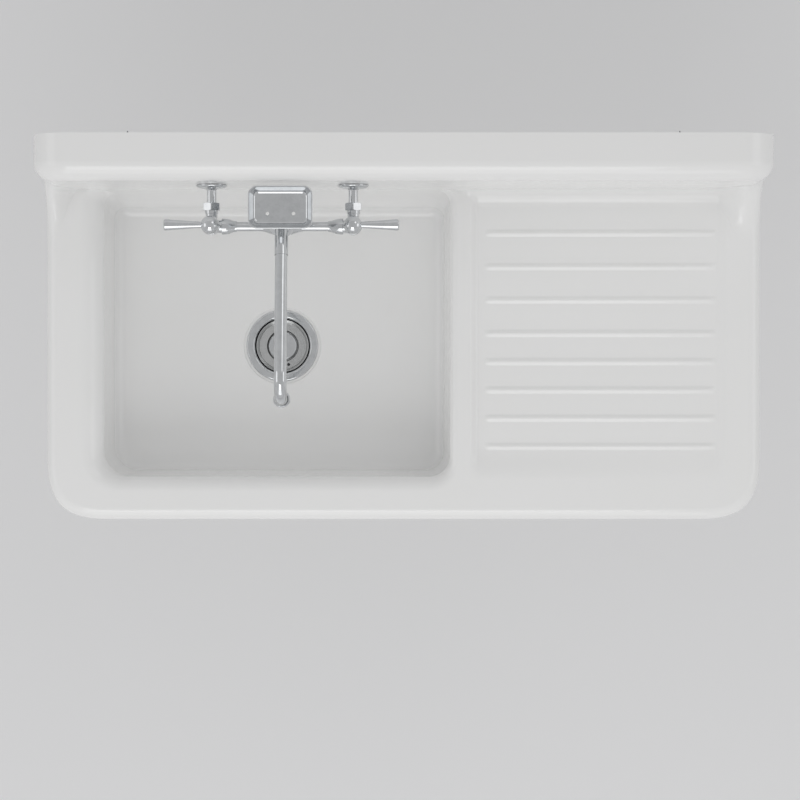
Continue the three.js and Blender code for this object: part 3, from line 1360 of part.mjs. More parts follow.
const bridge = placed(sink, TAP_X, VALVE_REACH, INLET_HEIGHT);
add(bridge, 'bridge_body', bridgeBody(), 'chrome');
add(bridge, 'bridge_coupling_right', bridgeCoupling(), 'chrome');
add(bridge, 'bridge_coupling_left', bridgeCoupling().rotateZ(Math.PI), 'chrome');
add(bridge, 'hub_ring', hubRing(), 'chrome');
add(placed(bridge, 0, -POST_BEHIND, 0), 'dish_post', dishPost(), 'chrome');
const dish = placed(sink, TAP_X, DISH_REACH, DISH_BOTTOM_HEIGHT);
add(dish, 'soap_dish', soapDish(), 'chrome');

const spout = placed(bridge, 0, 0, 0);
add(spout, 'spout_base', spoutBase(), 'chrome');
add(spout, 'spout_tube', spoutTube(), 'chrome');
add(spout, 'spout_ring_lower', oRing(O_RING_HEIGHTS[0]), 'rubber');
add(spout, 'spout_ring_upper', oRing(O_RING_HEIGHTS[1]), 'rubber');
const spoutEnd = spoutLine(0).pop();
const aerator = placed(spout, 0, spoutEnd.reach, spoutEnd.z - 7 - SEAT_GAP);
add(aerator, 'aerator_shell', aeratorShell(), 'chrome');
add(aerator, 'aerator_screen', aeratorScreen(), 'plastic');

export default sink;
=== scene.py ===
"""A wall-hung kitchen sink in enamelled cast iron, with its bridge tap and basket strainer.

Sizes are millimetres while a piece is being shaped, and turn to metres when it is finished. X runs to the
right along the wall, "reach" is the distance out from the wall, and heights are measured from the rim.
"""

import logging
import math
from dataclasses import dataclass
from enum import Enum
from typing import Sequence

import bmesh
import bpy
from mathutils import Matrix, Vector


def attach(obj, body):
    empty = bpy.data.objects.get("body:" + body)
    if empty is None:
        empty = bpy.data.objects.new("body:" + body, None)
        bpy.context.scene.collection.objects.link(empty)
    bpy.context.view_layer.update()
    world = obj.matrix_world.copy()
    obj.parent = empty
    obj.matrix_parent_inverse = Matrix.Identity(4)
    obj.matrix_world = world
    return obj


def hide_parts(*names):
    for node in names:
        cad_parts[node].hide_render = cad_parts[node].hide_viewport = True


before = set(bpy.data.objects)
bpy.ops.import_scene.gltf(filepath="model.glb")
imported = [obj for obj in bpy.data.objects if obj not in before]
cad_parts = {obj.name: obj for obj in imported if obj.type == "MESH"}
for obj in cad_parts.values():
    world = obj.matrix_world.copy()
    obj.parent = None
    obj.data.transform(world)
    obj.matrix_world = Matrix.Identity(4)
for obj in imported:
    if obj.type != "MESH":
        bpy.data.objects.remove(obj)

LOG = logging.getLogger("sink")
MM = 0.001
QUARTER = math.pi / 2
GAP = 0.3  # the play between two pieces

BMesh = bmesh.types.BMesh
Profile = Sequence[tuple[float, float]]
Stop = tuple[float, float, float]
Tree = bpy.types.NodeTree
Socket = bpy.types.NodeSocket


class Axis(Enum):
    """The way a turned piece points: its axis, and the side on which its profile is drawn."""

    UP = ((0, 0, 1), (1, 0, 0))
    FRONT = ((0, -1, 0), (1, 0, 0))
    RIGHT = ((1, 0, 0), (0, 0, 1))
    LEFT = ((-1, 0, 0), (0, 0, 1))


class Body(Enum):
    """The bodies of the frame that pieces ride on."""

    SINK = "sink"
    SPOUT = "spout"
    HOT = "hot_handle"
    COLD = "cold_handle"
    BASKET = "basket"


class Join(Enum):
    """How one solid meets another."""

    ADD = "UNION"
    CUT = "DIFFERENCE"
    KEEP = "INTERSECT"


class Coat(Enum):
    """Which side of the casting a surface belongs to."""

    SHOW = 0
    HIDDEN = 1


UP, FRONT, RIGHT, LEFT = Axis
ADD, CUT, KEEP = Join
SHOW, HIDDEN = Coat

# ---------------------------------------------------------------- shaping


def at(x: float, reach: float, z: float) -> Vector:
    """A point at x along the wall, at a reach out from it and at height z."""
    return Vector((x, -reach, z))


def away(angle: float, radius: float) -> Vector:
    """A level step of a radius at an angle."""
    return Vector((math.cos(angle), math.sin(angle), 0)) * radius


def spread(start: float, stop: float, steps: int) -> list[float]:
    """Numbers from start to stop in even steps, both ends included."""
    return [start + (stop - start) * i / steps for i in range(steps + 1)]


def mix(start: float, stop: float, share: float) -> float:
    """The number a share of the way from start to stop."""
    return start + (stop - start) * share


def ease(value: float, start: float, stop: float) -> float:
    """0 before start, 1 after stop, and a smooth S between them."""
    share = min(max((value - start) / (stop - start), 0.0), 1.0)
    return share * share * (3 - 2 * share)


def pull(work: BMesh, edges: list, ring: list, places: Sequence[Vector]) -> tuple[list, list]:
    """Extrudes a ring of edges to new places.

    Args:
        work: the mesh being shaped.
        edges: the ring's edges.
        ring: the ring's vertices in order.
        places: where each of them goes, in the same order.

    Returns:
        The new ring's edges and vertices.
    """
    made = bmesh.ops.extrude_edge_only(work, edges=edges)["geom"]
    fresh = {item for item in made if isinstance(item, bmesh.types.BMVert)}
    ring = [next(e.other_vert(v) for e in v.link_edges if e.other_vert(v) in fresh) for v in ring]
    for vert, place in zip(ring, places):
        vert.co = place
    return [e for e in made if isinstance(e, bmesh.types.BMEdge) and set(e.verts) <= fresh], ring


def skin(rings: Sequence[Sequence[Vector]], coat: Coat = SHOW) -> BMesh:
    """A closed solid that runs through rings of equally many points."""
    work = bmesh.new()
    ring = [work.verts.new(place) for place in rings[0]]
    edges = [work.edges.new((ring[i - 1], ring[i])) for i in range(len(ring))]
    work.faces.new(ring)
    for places in rings[1:]:
        edges, ring = pull(work, edges, ring, places)
    work.faces.new(ring)
    return whole(work, coat)


def whole(work: BMesh, coat: Coat = SHOW) -> BMesh:
    """Merges doubles, turns every face outwards, and marks the side of the casting it belongs to."""
    bmesh.ops.remove_doubles(work, verts=work.verts, dist=1e-4)
    bmesh.ops.dissolve_degenerate(work, edges=work.edges, dist=1e-5)
    bmesh.ops.recalc_face_normals(work, faces=work.faces)
    if work.calc_volume(signed=True) < 0:
        bmesh.ops.reverse_faces(work, faces=work.faces)
    for face in work.faces:
        face.material_index = coat.value
    return smooth(work)


def smooth(work: BMesh) -> BMesh:
    """Shades every face smoothly."""
    for face in work.faces:
        face.smooth = True
    return work


def bevel(work: BMesh, geom: list, offset: float, kind: str, segments: int) -> None:
    """Rounds edges or corners off."""
    bmesh.ops.bevel(work, geom=geom, offset=offset, offset_type="OFFSET", affect=kind, segments=segments,
        profile=0.5, material=-1, clamp_overlap=True)


def soften(work: BMesh, chain: list, closed: bool, radius: float) -> None:
    """Rounds the sharp corners of a chain of edges.

    Args:
        work: the mesh that holds the chain.
        chain: the chain's vertices in order.
        closed: whether its last vertex joins its first.
        radius: the length taken off each side of a corner, where there is room.
    """
    corners = []
    for i, vert in enumerate(chain):
        if not closed and i in (0, len(chain) - 1):
            continue
        back, ahead = vert.co - chain[i - 1].co, chain[(i + 1) % len(chain)].co - vert.co
        room = min(back.length, ahead.length)
        if room > 0.05 and back.angle(ahead, 0.0) > math.radians(24):
            corners.append((vert, min(radius, 0.42 * room)))
    for vert, offset in corners:
        bevel(work, [vert], offset, "VERTICES", 3)


def turned(profile: Profile, axis: Axis, centre: Vector, sides: int = 56, edge: float = 0.5) -> BMesh:
    """A profile spun about an axis, with its corners rounded.

    Args:
        profile: radius and height of each corner; off the axis it closes on itself.
        axis: the way the heights run.
        centre: the point that the heights are measured from.
        sides: the steps of the spin.
        edge: how much each corner is rounded.

    Returns:
        The solid.
    """
    along, aside = Vector(axis.value[0]), Vector(axis.value[1])
    closed = profile[0][0] > 0
    work = bmesh.new()
    chain = [work.verts.new(centre + along * height + aside * radius) for radius, height in profile]
    for pair in zip(chain, chain[1:] + chain[:1] if closed else chain[1:]):
        work.edges.new(pair)
    if edge > 0:
        soften(work, chain, closed, edge)
    bmesh.ops.spin(work, geom=work.verts[:] + work.edges[:], cent=centre, axis=along, dvec=(0, 0, 0),
        angle=2 * math.pi, steps=sides, use_merge=True, use_duplicate=False)
    return whole(work)


def rod(radius: float, start: float, stop: float, axis: Axis, centre: Vector, sides: int = 40,
        edge: float = 0.0) -> BMesh:
    """A plain round bar between two heights on an axis."""
    return turned([(0, start), (radius, start), (radius, stop), (0, stop)], axis, centre, sides, edge)


def sleeve(inner: float, outer: float, start: float, stop: float, axis: Axis, centre: Vector,
        edge: float = 0.4) -> BMesh:
    """A washer or sleeve between two heights on an axis."""
    return turned([(inner, start), (outer, start), (outer, stop), (inner, stop)], axis, centre, 56, edge)


def ball(radius: float, height: float, centre: Vector, steps: int) -> BMesh:
    """A ball at a height above a point."""
    arc = [(radius * math.cos(a), height + radius * math.sin(a)) for a in spread(-QUARTER, QUARTER,
        steps)[1:-1]]
    return turned([(0, height - radius), *arc, (0, height + radius)], UP, centre, 64, 0)


def extruded(work: BMesh, faces: list, way: Vector) -> None:
    """Extrudes faces by a step."""
    made = bmesh.ops.extrude_face_region(work, geom=faces)["geom"]
    bmesh.ops.translate(work, verts=[v for v in made if isinstance(v, bmesh.types.BMVert)], vec=way)


def hexagon(flats: float, start: float, stop: float, axis: Axis, centre: Vector, swing: float,
        chamfer: tuple[float, float], *bores: BMesh) -> BMesh:
    """A hexagon nut blank with both ends turned to a chamfer.

    Args:
        flats: the distance across two opposite flats.
        start: the height of one end.
        stop: the height of the other.
        axis: the way the heights run.
        centre: the point that they are measured from.
        swing: the radius its corners are turned to, as a share of half the flats.
        chamfer: what is taken off the corners, across and along the axis.
        bores: what is cut from it.

    Returns:
        The solid.
    """
    work = bmesh.new()
    bmesh.ops.create_circle(work, cap_ends=True, radius=flats / 2 / math.cos(math.pi / 6), segments=6)
    extruded(work, work.faces[:], Vector((0, 0, stop - start)))
    bmesh.ops.translate(work, verts=work.verts, vec=(0, 0, start))
    turn = Vector((0, 0, 1)).rotation_difference(Vector(axis.value[0])).to_matrix()
    bmesh.ops.rotate(work, verts=work.verts, cent=(0, 0, 0), matrix=turn)
    bmesh.ops.translate(work, verts=work.verts, vec=centre)
    (across, along), corner = chamfer, flats / 2 * swing
    trim = [(0, start), (corner - across, start), (corner, start + along), (corner, stop - along),
        (corner - across, stop), (0, stop)]
    return fitted(whole(work), (KEEP, turned(trim, axis, centre, 72, 0)), *[(CUT, bore) for bore in bores])


def side_profile(points: Profile, x: float, width: float, edge: float = 0.0, coat: Coat = HIDDEN) -> BMesh:
    """A side view extruded to both sides of x.

    Args:
        points: reach and height of each corner.
        x: the middle of the piece along the wall.
        width: its whole width.
        edge: how much its corners are rounded.
        coat: the side of the casting that its surface belongs to.

    Returns:
        The solid.
    """
    work = bmesh.new()
    outline = work.faces.new([work.verts.new(at(x - width / 2, reach, z)) for reach, z in points])
    extruded(work, [outline], Vector((width, 0, 0)))
    whole(work, coat)
    return round_edges(work, edge, 40) if edge > 0 else work


def round_edges(work: BMesh, width: float, over: float) -> BMesh:
    """Bevels every edge whose faces meet at more than an angle in degrees."""
    sharp = [e for e in work.edges if e.is_manifold and e.calc_face_angle(0.0) > math.radians(over)]
    bevel(work, sharp, width, "EDGES", 2)
    return smooth(work)


def placed(name: str, data: bpy.types.ID) -> bpy.types.Object:
    """A new object in the scene."""
    thing = bpy.data.objects.new(name, data)
    bpy.context.scene.collection.objects.link(thing)
    return thing


def as_mesh(work: BMesh, name: str) -> bpy.types.Mesh:
    """Turns a shaped mesh into one that an object can hold."""
    mesh = bpy.data.meshes.new(name)
    work.to_mesh(mesh)
    work.free()
    return mesh


def scratch_object(work: BMesh) -> bpy.types.Object:
    """A throwaway object that holds a mesh, with a slot for each coat."""
    mesh = as_mesh(work, "scratch")
    for _ in Coat:
        mesh.materials.append(None)
    return placed("scratch", mesh)


def fitted(body: BMesh, *steps: tuple[Join, BMesh]) -> BMesh:
    """A solid with others added to it or cut from it, in order.

    Args:
        body: the solid to start from.
        steps: each way of joining with the solid it takes.

    Returns:
        The result.
    """
    base = scratch_object(body)
    tools = [scratch_object(tool) for _, tool in steps]
    for (join, _), other in zip(steps, tools):
        change = base.modifiers.new("fit", "BOOLEAN")
        change.operation, change.object, change.solver = join.value, other, "MANIFOLD"
    result = bmesh.new()
    result.from_object(base, bpy.context.evaluated_depsgraph_get())
    for thing in [base, *tools]:
        mesh = thing.data
        bpy.data.objects.remove(thing)
        bpy.data.meshes.remove(mesh)
    bmesh.ops.remove_doubles(result, verts=result.verts, dist=1e-3)
    bmesh.ops.dissolve_degenerate(result, edges=result.edges, dist=1e-4)
    for kind, items in (("VERTS", result.verts), ("EDGES", result.edges)):
        bmesh.ops.delete(result, geom=[item for item in items if not item.link_faces], context=kind)
    return smooth(result)


def joined(*solids: BMesh) -> BMesh:
    """Solids added into one."""
    return fitted(solids[0], *[(ADD, solid) for solid in solids[1:]])


def cut(body: BMesh, *tools: BMesh) -> BMesh:
    """One solid with others cut from it."""
    return fitted(body, *[(CUT, tool) for tool in tools])


# ---------------------------------------------------------------- finishes


def linear(colour: str) -> tuple[float, float, float, float]:
    """An sRGB hex colour as the linear values that a shader takes."""
    parts = [int(colour[i : i + 2], 16) / 255 for i in (1, 3, 5)]
    return (*[p / 12.92 if p <= 0.04045 else ((p + 0.055) / 1.055) ** 2.4 for p in parts], 1.0)


def add_node(tree: Tree, kind: str, inputs: dict, out: str | int = 0, **settings: str) -> Socket:
    """Adds one node.

    Args:
        tree: the tree it goes in.
        kind: its type, without the word that all of them start with.
        inputs: a value, or an output to link, for each socket by name or number.
        out: the output that is wanted.
        settings: its properties by name.

    Returns:
        That output, or the node itself where it has none.
    """
    node = tree.nodes.new("ShaderNode" + kind)
    for name, value in settings.items():
        setattr(node, name, value)
    for key, value in inputs.items():
        if isinstance(value, Socket):
            tree.links.new(value, node.inputs[key])
        else:
            node.inputs[key].default_value = value
    return node.outputs[out] if node.outputs else node


def empty_tree(holder: bpy.types.ID) -> Tree:
    """The node tree of a material or world, with nothing in it."""
    holder.use_nodes = True
    holder.node_tree.nodes.clear()
    return holder.node_tree


def noise(tree: Tree, place: Socket, size: float, detail: float, roughness: float = 0.5) -> Socket:
    """Noise whose features are about a size in millimetres across."""
    inputs = {"Vector": place, "Scale": 1 / (size * MM), "Detail": detail, "Roughness": roughness}
    return add_node(tree, "TexNoise", inputs, "Fac")


def blend(tree: Tree, share: Socket, first: str, second: str) -> Socket:
    """A colour that goes from one to another."""
    return add_node(tree, "Mix", {0: share, 6: linear(first), 7: linear(second)}, 2, data_type="RGBA")


def ranged(tree: Tree, value: Socket, low: float, high: float, start: float = 0.0,
        stop: float = 1.0) -> Socket:
    """A value's range from low to high, laid over another from start to stop."""
    inputs = {"Value": value, "From Min": low, "From Max": high, "To Min": start, "To Max": stop}
    return add_node(tree, "MapRange", inputs, "Result")


def bump(tree: Tree, height: Socket, strength: float, depth: float, **under: Socket) -> Socket:
    """The surface's direction over bumps of a depth in millimetres."""
    return add_node(tree, "Bump", {"Height": height, "Strength": strength, "Distance": depth * MM, **under})


def shader(tree: Tree, colour: Socket, roughness: Socket | float, normal: Socket,
        metallic: float = 0.0) -> Socket:
    """The shader of a finish; its IOR of 1.5 is that of glass, and the default for metal."""
    inputs = {"Base Color": colour, "Roughness": roughness, "Normal": normal, "IOR": 1.5,
        "Metallic": metallic}
    return add_node(tree, "BsdfPrincipled", inputs)


@dataclass(frozen=True)
class Finish:
    """A surface of the sink, with the record's slot that it belongs to."""

    name: str
    slot: str

    def material(self) -> bpy.types.Material:
        """The finish's material, made the first time it is asked for."""
        known = bpy.data.materials.get(self.name)
        if known:
            return known
        material = bpy.data.materials.new(self.name)
        tree = empty_tree(material)
        surface = self.shade(tree, add_node(tree, "TexCoord", {}, "Object"))
        add_node(tree, "OutputMaterial", {"Surface": surface})
        return material

    def shade(self, tree: Tree, place: Socket) -> Socket:
        """Builds the finish's nodes.

        Args:
            tree: the material's tree.
            place: the piece's own coordinates.

        Returns:
            The shader's output.
        """
        raise NotImplementedError


@dataclass(frozen=True)
class VitreousEnamel(Finish):
    """White vitreous enamel fired on cast iron: glassy, with the slight swell of glaze that has flowed."""

    white: str = "#F7F7F7"
    shade_white: str = "#F5F5F4"
    swell: float = 26.0
    orange_peel: float = 5.0

    def shade(self, tree: Tree, place: Socket) -> Socket:
        """White with hardly seen clouds, fine wear in its gloss, and a slow swell in its surface."""
        colour = blend(tree, noise(tree, place, 140, 3), self.white, self.shade_white)
        roughness = ranged(tree, noise(tree, place, 9, 6, 0.7), 0.35, 0.7, 0.08, 0.14)
        slow = bump(tree, noise(tree, place, self.swell, 1), 0.25, 0.6)
        fine = bump(tree, noise(tree, place, self.orange_peel, 2), 0.08, 0.2, Normal=slow)
        return shader(tree, colour, roughness, fine)


@dataclass(frozen=True)
class GroundCoat(Finish):
    """The thin, matt ground coat on the sink's hidden side, over the grain of sand-cast iron."""

    pale: str = "#B9B9B4"
    dark: str = "#94948F"

    def shade(self, tree: Tree, place: Socket) -> Socket:
        """Grey, blotched where the coat is thin, with the casting's sand grain."""
        colour = blend(tree, noise(tree, place, 45, 6), self.pale, self.dark)
        return shader(tree, colour, 0.62, bump(tree, noise(tree, place, 2.2, 4), 0.6, 0.4))


@dataclass(frozen=True)
class Metal(Finish):
    """A metal surface: its colour, its polish, and the marks that its making and use leave."""

    bright: str
    dull: str
    polish: float
    haze: float
    mark_size: float
    dent: float = 0.02
    spin_axis: tuple[float, float] | None = None
    ring_pitch: float = 0.9

    def shade(self, tree: Tree, place: Socket) -> Socket:
        """Bright metal, hazed in patches, with turning rings where it was spun on a lathe."""
        patches = noise(tree, place, self.mark_size, 5, 0.6)
        colour = blend(tree, ranged(tree, patches, 0.4, 0.75), self.bright, self.dull)
        roughness = ranged(tree, patches, 0.35, 0.75, self.polish, self.haze)
        height = noise(tree, place, self.mark_size / 2, 2)
        if self.spin_axis is not None:
            height = add_node(tree, "Math", {0: height, 1: self.rings(tree, place)}, operation="ADD")
        return shader(tree, colour, roughness, bump(tree, height, 0.3, self.dent), 1.0)

    def rings(self, tree: Tree, place: Socket) -> Socket:
        """A wave that runs in rings round the lathe's axis."""
        x, y = self.spin_axis
        centred = add_node(tree, "VectorMath", {0: place, 1: (x * MM, y * MM, 0)}, operation="SUBTRACT")
        flat = add_node(tree, "VectorMath", {0: centred, 1: (1, 1, 0)}, operation="MULTIPLY")
        distance = add_node(tree, "VectorMath", {0: flat}, "Value", operation="LENGTH")
        turns = 2 * math.pi / (self.ring_pitch * MM)
        return add_node(tree, "Math", {0: add_node(tree, "Math", {0: distance, 1: turns},
            operation="MULTIPLY")}, operation="SINE")


@dataclass(frozen=True)
class Moulded(Finish):
    """A moulded or pressed surface that isn't metal: rubber, washer fibre or plastic."""

    bright: str
    dull: str
    roughness: float
    grain: float
    depth: float

    def shade(self, tree: Tree, place: Socket) -> Socket:
        """A slightly uneven colour over a fine grain."""
        grain = noise(tree, place, self.grain, 4)
        colour = blend(tree, grain, self.bright, self.dull)
        return shader(tree, colour, self.roughness, bump(tree, grain, 0.5, self.depth))


DRAIN_X, DRAIN_REACH = -187.0, 297.5

# Glassy white: soft, slightly wavy reflections of the lamps along every rolled edge.
ENAMEL = VitreousEnamel("white vitreous enamel", "enamel")
# Grey and dry, with the grain of the mould showing through.
GROUND_COAT = GroundCoat("matt ground coat", "enamel")
# Plate over buffed brass: sharp dark and bright bands, a little milky where it has been wiped.
CHROME = Metal("polished chrome plate", "chrome", "#D8DADC", "#CDCFD1", 0.05, 0.11, 14.0)
# Spun on a lathe: reflections drawn out across the turning rings.
STAINLESS = Metal("satin stainless steel", "steel", "#CFD0D0", "#C2C3C3", 0.16, 0.26, 10.0, 0.012,
    (DRAIN_X, -DRAIN_REACH))
# Bare from the lathe: yellow, with brown patches where it has tarnished.
BRASS = Metal("raw turned brass", "brass", "#C39A55", "#8E6D3C", 0.22, 0.45, 5.0, 0.04)
# Barrel plated: an even, cold grey with a dull sheen.
ZINC = Metal("dull zinc plate", "zinc", "#A4A7A9", "#85898C", 0.38, 0.55, 7.0, 0.05)
# Moulded without a shine, so it reads as a dark line between pieces.
RUBBER = Moulded("black moulded rubber", "rubber", "#1C1C1D", "#2A2A2A", 0.75, 0.8, 0.05)
# Pressed from board: brown, dry and faintly flecked.
FIBRE = Moulded("washer fibre", "fibre", "#9A6A4A", "#84553A", 0.85, 0.7, 0.08)
# Moulded in one shot: slightly creamy, with a soft sheen.
PLASTIC = Moulded("white moulded plastic", "plastic", "#DAD9D3", "#CFCEC8", 0.42, 0.6, 0.02)


def finish_piece(work: BMesh, name: str, finish: Finish = CHROME, body: Body = Body.SINK,
        under: Finish | None = None, crease: float = 32.0) -> None:
    """Turns a shaped mesh into a piece of the model.

    Args:
        work: the mesh, in millimetres.
        name: the name of the frame's node that it stands for.
        finish: its surface.
        body: the body that it rides on.
        under: the surface of its hidden side, where that differs.
        crease: the angle in degrees past which an edge shows as sharp.
    """
    bmesh.ops.scale(work, vec=(MM, MM, MM), verts=work.verts)
    triangles = sum(len(face.verts) - 2 for face in work.faces)
    mesh = as_mesh(work, name)
    for surface in filter(None, (finish, under)):
        mesh.materials.append(surface.material())
    mesh.set_sharp_from_angle(angle=math.radians(crease))
    piece = placed(f"{name}_piece", mesh)
    piece.modifiers.new("even shading", "WEIGHTED_NORMAL").keep_sharp = True
    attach(piece, body.value)
    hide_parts(name)
    LOG.info("%s: %d triangles", name, triangles)


# ---------------------------------------------------------------- casting


def lip_flare(radius: float, depth: float) -> float:
    """How far a rounded edge falls away at a distance from where it starts."""
    rest = max(radius - max(depth, 0.0), 0.0)
    return radius - math.sqrt(radius * radius - rest * rest) if radius > 0 else 0.0


@dataclass(frozen=True)
class SinkCasting:
    """The enamelled casting: backsplash and ledge, rim and apron, bowl, and ribbed drainboard."""

    width: float = 1067.0
    reach: float = 560.0
    splash_height: float = 203.0
    splash_reach: float = 67.0
    splash_corner: float = 55.0
    splash_root: float = 40.0
    lip_roll: float = 28.0
    apron_height: float = 100.0
    apron_edge: float = 3.0
    iron: float = 6.5
    rim_roll: float = 18.0
    front_corner: float = 88.0
    front_corner_pull: float = 63.0
    end_sweep: float = 76.0
    divider_cove: float = 14.0
    board_cove: float = 28.0
    left_rim: float = 81.5
    front_rim: float = 63.0
    bowl_width: float = 522.0
    bowl_depth: float = 150.0
    bowl_fall: float = 6.0
    bowl_taper: float = 3.5
    bowl_back_taper: float = 8.0
    foot_radius: float = 18.0
    left_lip: float = 34.0
    front_lip: float = 21.0
    divider_lip: float = 12.0
    corner_back: float = 18.0
    corner_left: float = 38.0
    corner_right: float = 30.0
    seat_radius: float = 58.0
    seat_depth: float = 2.0
    drain_hole: float = 45.0
    divider_top: float = 28.0
    right_rim: float = 49.5
    board_step: float = 14.0
    board_bank: float = 16.0
    drop_left: float = 9.0
    drop_right: float = 3.0
    board_front_rim: float = 60.0
    board_ramp: float = 48.0
    rib_reaches: tuple[float, ...] = (132.0, 182.0, 232.0, 282.0, 324.2, 366.4, 408.6, 450.8)
    rib_width: float = 13.0
    rib_height: float = 2.2
    rib_inset: float = 8.0
    inlet_xs: tuple[float, float] = (-280.5, -73.5)
    inlet_height: float = 95.0
    inlet_hole: float = 12.0
    back_rib_width: float = 12.0
    back_rib_spacing: float = 215.0
    hanger_x: float = 400.0
    lug_width: float = 70.0
    lug_thickness: float = 8.0
    lug_drop: float = 36.0
    lug_top: float = 114.0
    lug_front: float = 20.7
    overcut: float = 1.0
    roll_steps: int = 14
    corner_steps: int = 14

    @property
    def half(self) -> float:
        """Half the casting's width."""
        return self.width / 2

    @property
    def bowl_left(self) -> float:
        """The bowl's left edge at the rim."""
        return self.left_rim - self.half

    @property
    def bowl_right(self) -> float:
        """The bowl's right edge at the rim."""
        return self.bowl_left + self.bowl_width

    @property
    def board_left(self) -> float:
        """Where the divider starts to fall to the drainboard."""
        return self.bowl_right + self.divider_top

    @property
    def step_end(self) -> float:
        """Where that fall ends."""
        return self.board_left + self.board_step

    @property
    def board_right(self) -> float:
        """Where the drainboard has risen to the right rim."""
        return self.half - self.right_rim

    @property
    def bank(self) -> float:
        """Where that rise starts."""
        return self.board_right - self.board_bank

    @property
    def turns(self) -> list[float]:
        """The angles of a quarter turn, in the steps of a rolled edge."""
        return spread(0, QUARTER, self.roll_steps)

    def rim_plan(self, inset: float, z: float, back: float) -> list[Vector]:
        """The rim from above, drawn in on its free sides."""
        start, stop = self.reach - self.front_corner, self.half - self.front_corner
        bend = self.front_corner_pull
        corner = ((self.half, start), (self.half, start + bend), (stop + bend, self.reach),
            (stop, self.reach))
        handles = [Vector(handle) for handle in corner]
        half = [(self.half - inset, back)]
        for t in spread(0, 1, self.corner_steps):
            s = 1 - t
            weights = (s**3, 3 * s * s * t, 3 * s * t * t, t**3)
            slopes = (-3 * s * s, 3 * s * s - 6 * s * t, 6 * s * t - 3 * t * t, 3 * t * t)
            point = sum((h * w for h, w in zip(handles, weights)), Vector((0, 0)))
            along = sum((h * w for h, w in zip(handles, slopes)), Vector((0, 0))).normalized()
            half.append((point.x - inset * along.y, point.y + inset * along.x))
        return [at(x, reach, z) for x, reach in half + [(-x, reach) for x, reach in reversed(half)]]

    def rim_block(self, inset: float, coat: Coat) -> BMesh:
        """The rim and apron, or the room inside them."""
        roll, edge = self.rim_roll - inset, self.apron_edge
        back = -self.overcut if inset > 0 else 0.0
        rings = [self.rim_plan(inset + roll * (1 - math.sin(a)), -inset - roll * (1 - math.cos(a)),
            back) for a in self.turns]
        if inset > 0:
            rings.append(self.rim_plan(inset, -self.apron_height - self.overcut, back))
        else:
            rings += [self.rim_plan(edge * (1 - math.cos(a)) / 2,
                -self.apron_height + edge * (1 - math.sin(a)), back) for a in spread(0, QUARTER, 4)]
        return skin(rings, coat)

    def splash_elevation(self, inset: float, reach: float) -> list[Vector]:
        """The backsplash from the front, drawn in at its top and ends."""
        radius = self.splash_corner - inset
        x, z = self.half - self.splash_corner, self.splash_height - self.splash_corner
        half = [(self.half - inset, -self.splash_root)]
        half += [(x + radius * math.cos(a), z + radius * math.sin(a)) for a in spread(0, QUARTER,
            self.corner_steps)]
        return [at(x, reach, z) for x, z in half + [(-x, z) for x, z in reversed(half)]]

    def splash_block(self, inset: float, coat: Coat) -> BMesh:
        """The backsplash with its rolled lip, or the room inside it."""
        roll, start = self.lip_roll - inset, self.splash_reach - self.lip_roll
        rings = [self.splash_elevation(inset, -self.overcut if inset > 0 else 0.0)]
        rings += [self.splash_elevation(inset + roll * (1 - math.cos(a)),
            start + roll * math.sin(a)) for a in self.turns]
        return skin(rings, coat)

    def bowl_plan(self, depth: float, foot: float, grow: float) -> list[Vector]:
        """The bowl from above at a depth: a rectangle with four corner radii.

        Args:
            depth: how far below the rim.
            foot: how far the walls are drawn in by the round at their foot.
            grow: the iron's thickness for the outside, or 0.

        Returns:
            The outline's points.
        """
        wall = min(max(depth, 0.0), self.bowl_depth - self.foot_radius)
        taper = wall * math.tan(math.radians(self.bowl_taper)) + foot
        back_taper = wall * math.tan(math.radians(self.bowl_back_taper)) + foot
        lips = (self.left_lip, self.front_lip, self.divider_lip)
        left_flare, front_flare, right_flare = (lip_flare(lip - grow, depth - grow) for lip in lips)
        left, right = self.bowl_left + taper - left_flare - grow, self.bowl_right - taper + right_flare + grow
        back = self.splash_reach + back_taper - grow
        front = self.reach - self.front_rim - taper + front_flare + grow
        corners = [(right, back, self.corner_back), (left, back, self.corner_back),
            (left, front, self.corner_left + front_flare), (right, front, self.corner_right + right_flare)]
        arcs = []
        for turn, (x, reach, base) in enumerate(corners):
            radius = base + grow - foot * 0.5
            middle_x = x + (-radius if turn in (0, 3) else radius)
            middle_reach = reach + (radius if turn < 2 else -radius)
            arcs.append([at(middle_x + radius * math.cos(a), middle_reach - radius * math.sin(a), -depth)
                for a in spread(turn * QUARTER, (turn + 1) * QUARTER, self.corner_steps - 1)])
        ring = []
        for turn, arc in enumerate(arcs):
            ring += arc + [arc[-1].lerp(arcs[(turn + 1) % 4][0], t) for t in (0.25, 0.5, 0.75)]
        return ring

    def drain_circle(self, radius: float, depth: float) -> list[Vector]:
        """A circle about the drain with as many points as the bowl's plan."""
        count = 4 * (self.corner_steps + 3)
        start = math.pi / 4 - math.pi * (self.corner_steps - 1) / count
        return [at(DRAIN_X + radius * math.cos(a), DRAIN_REACH - radius * math.sin(a),
            -depth) for a in (start + 2 * math.pi * i / count for i in range(count))]

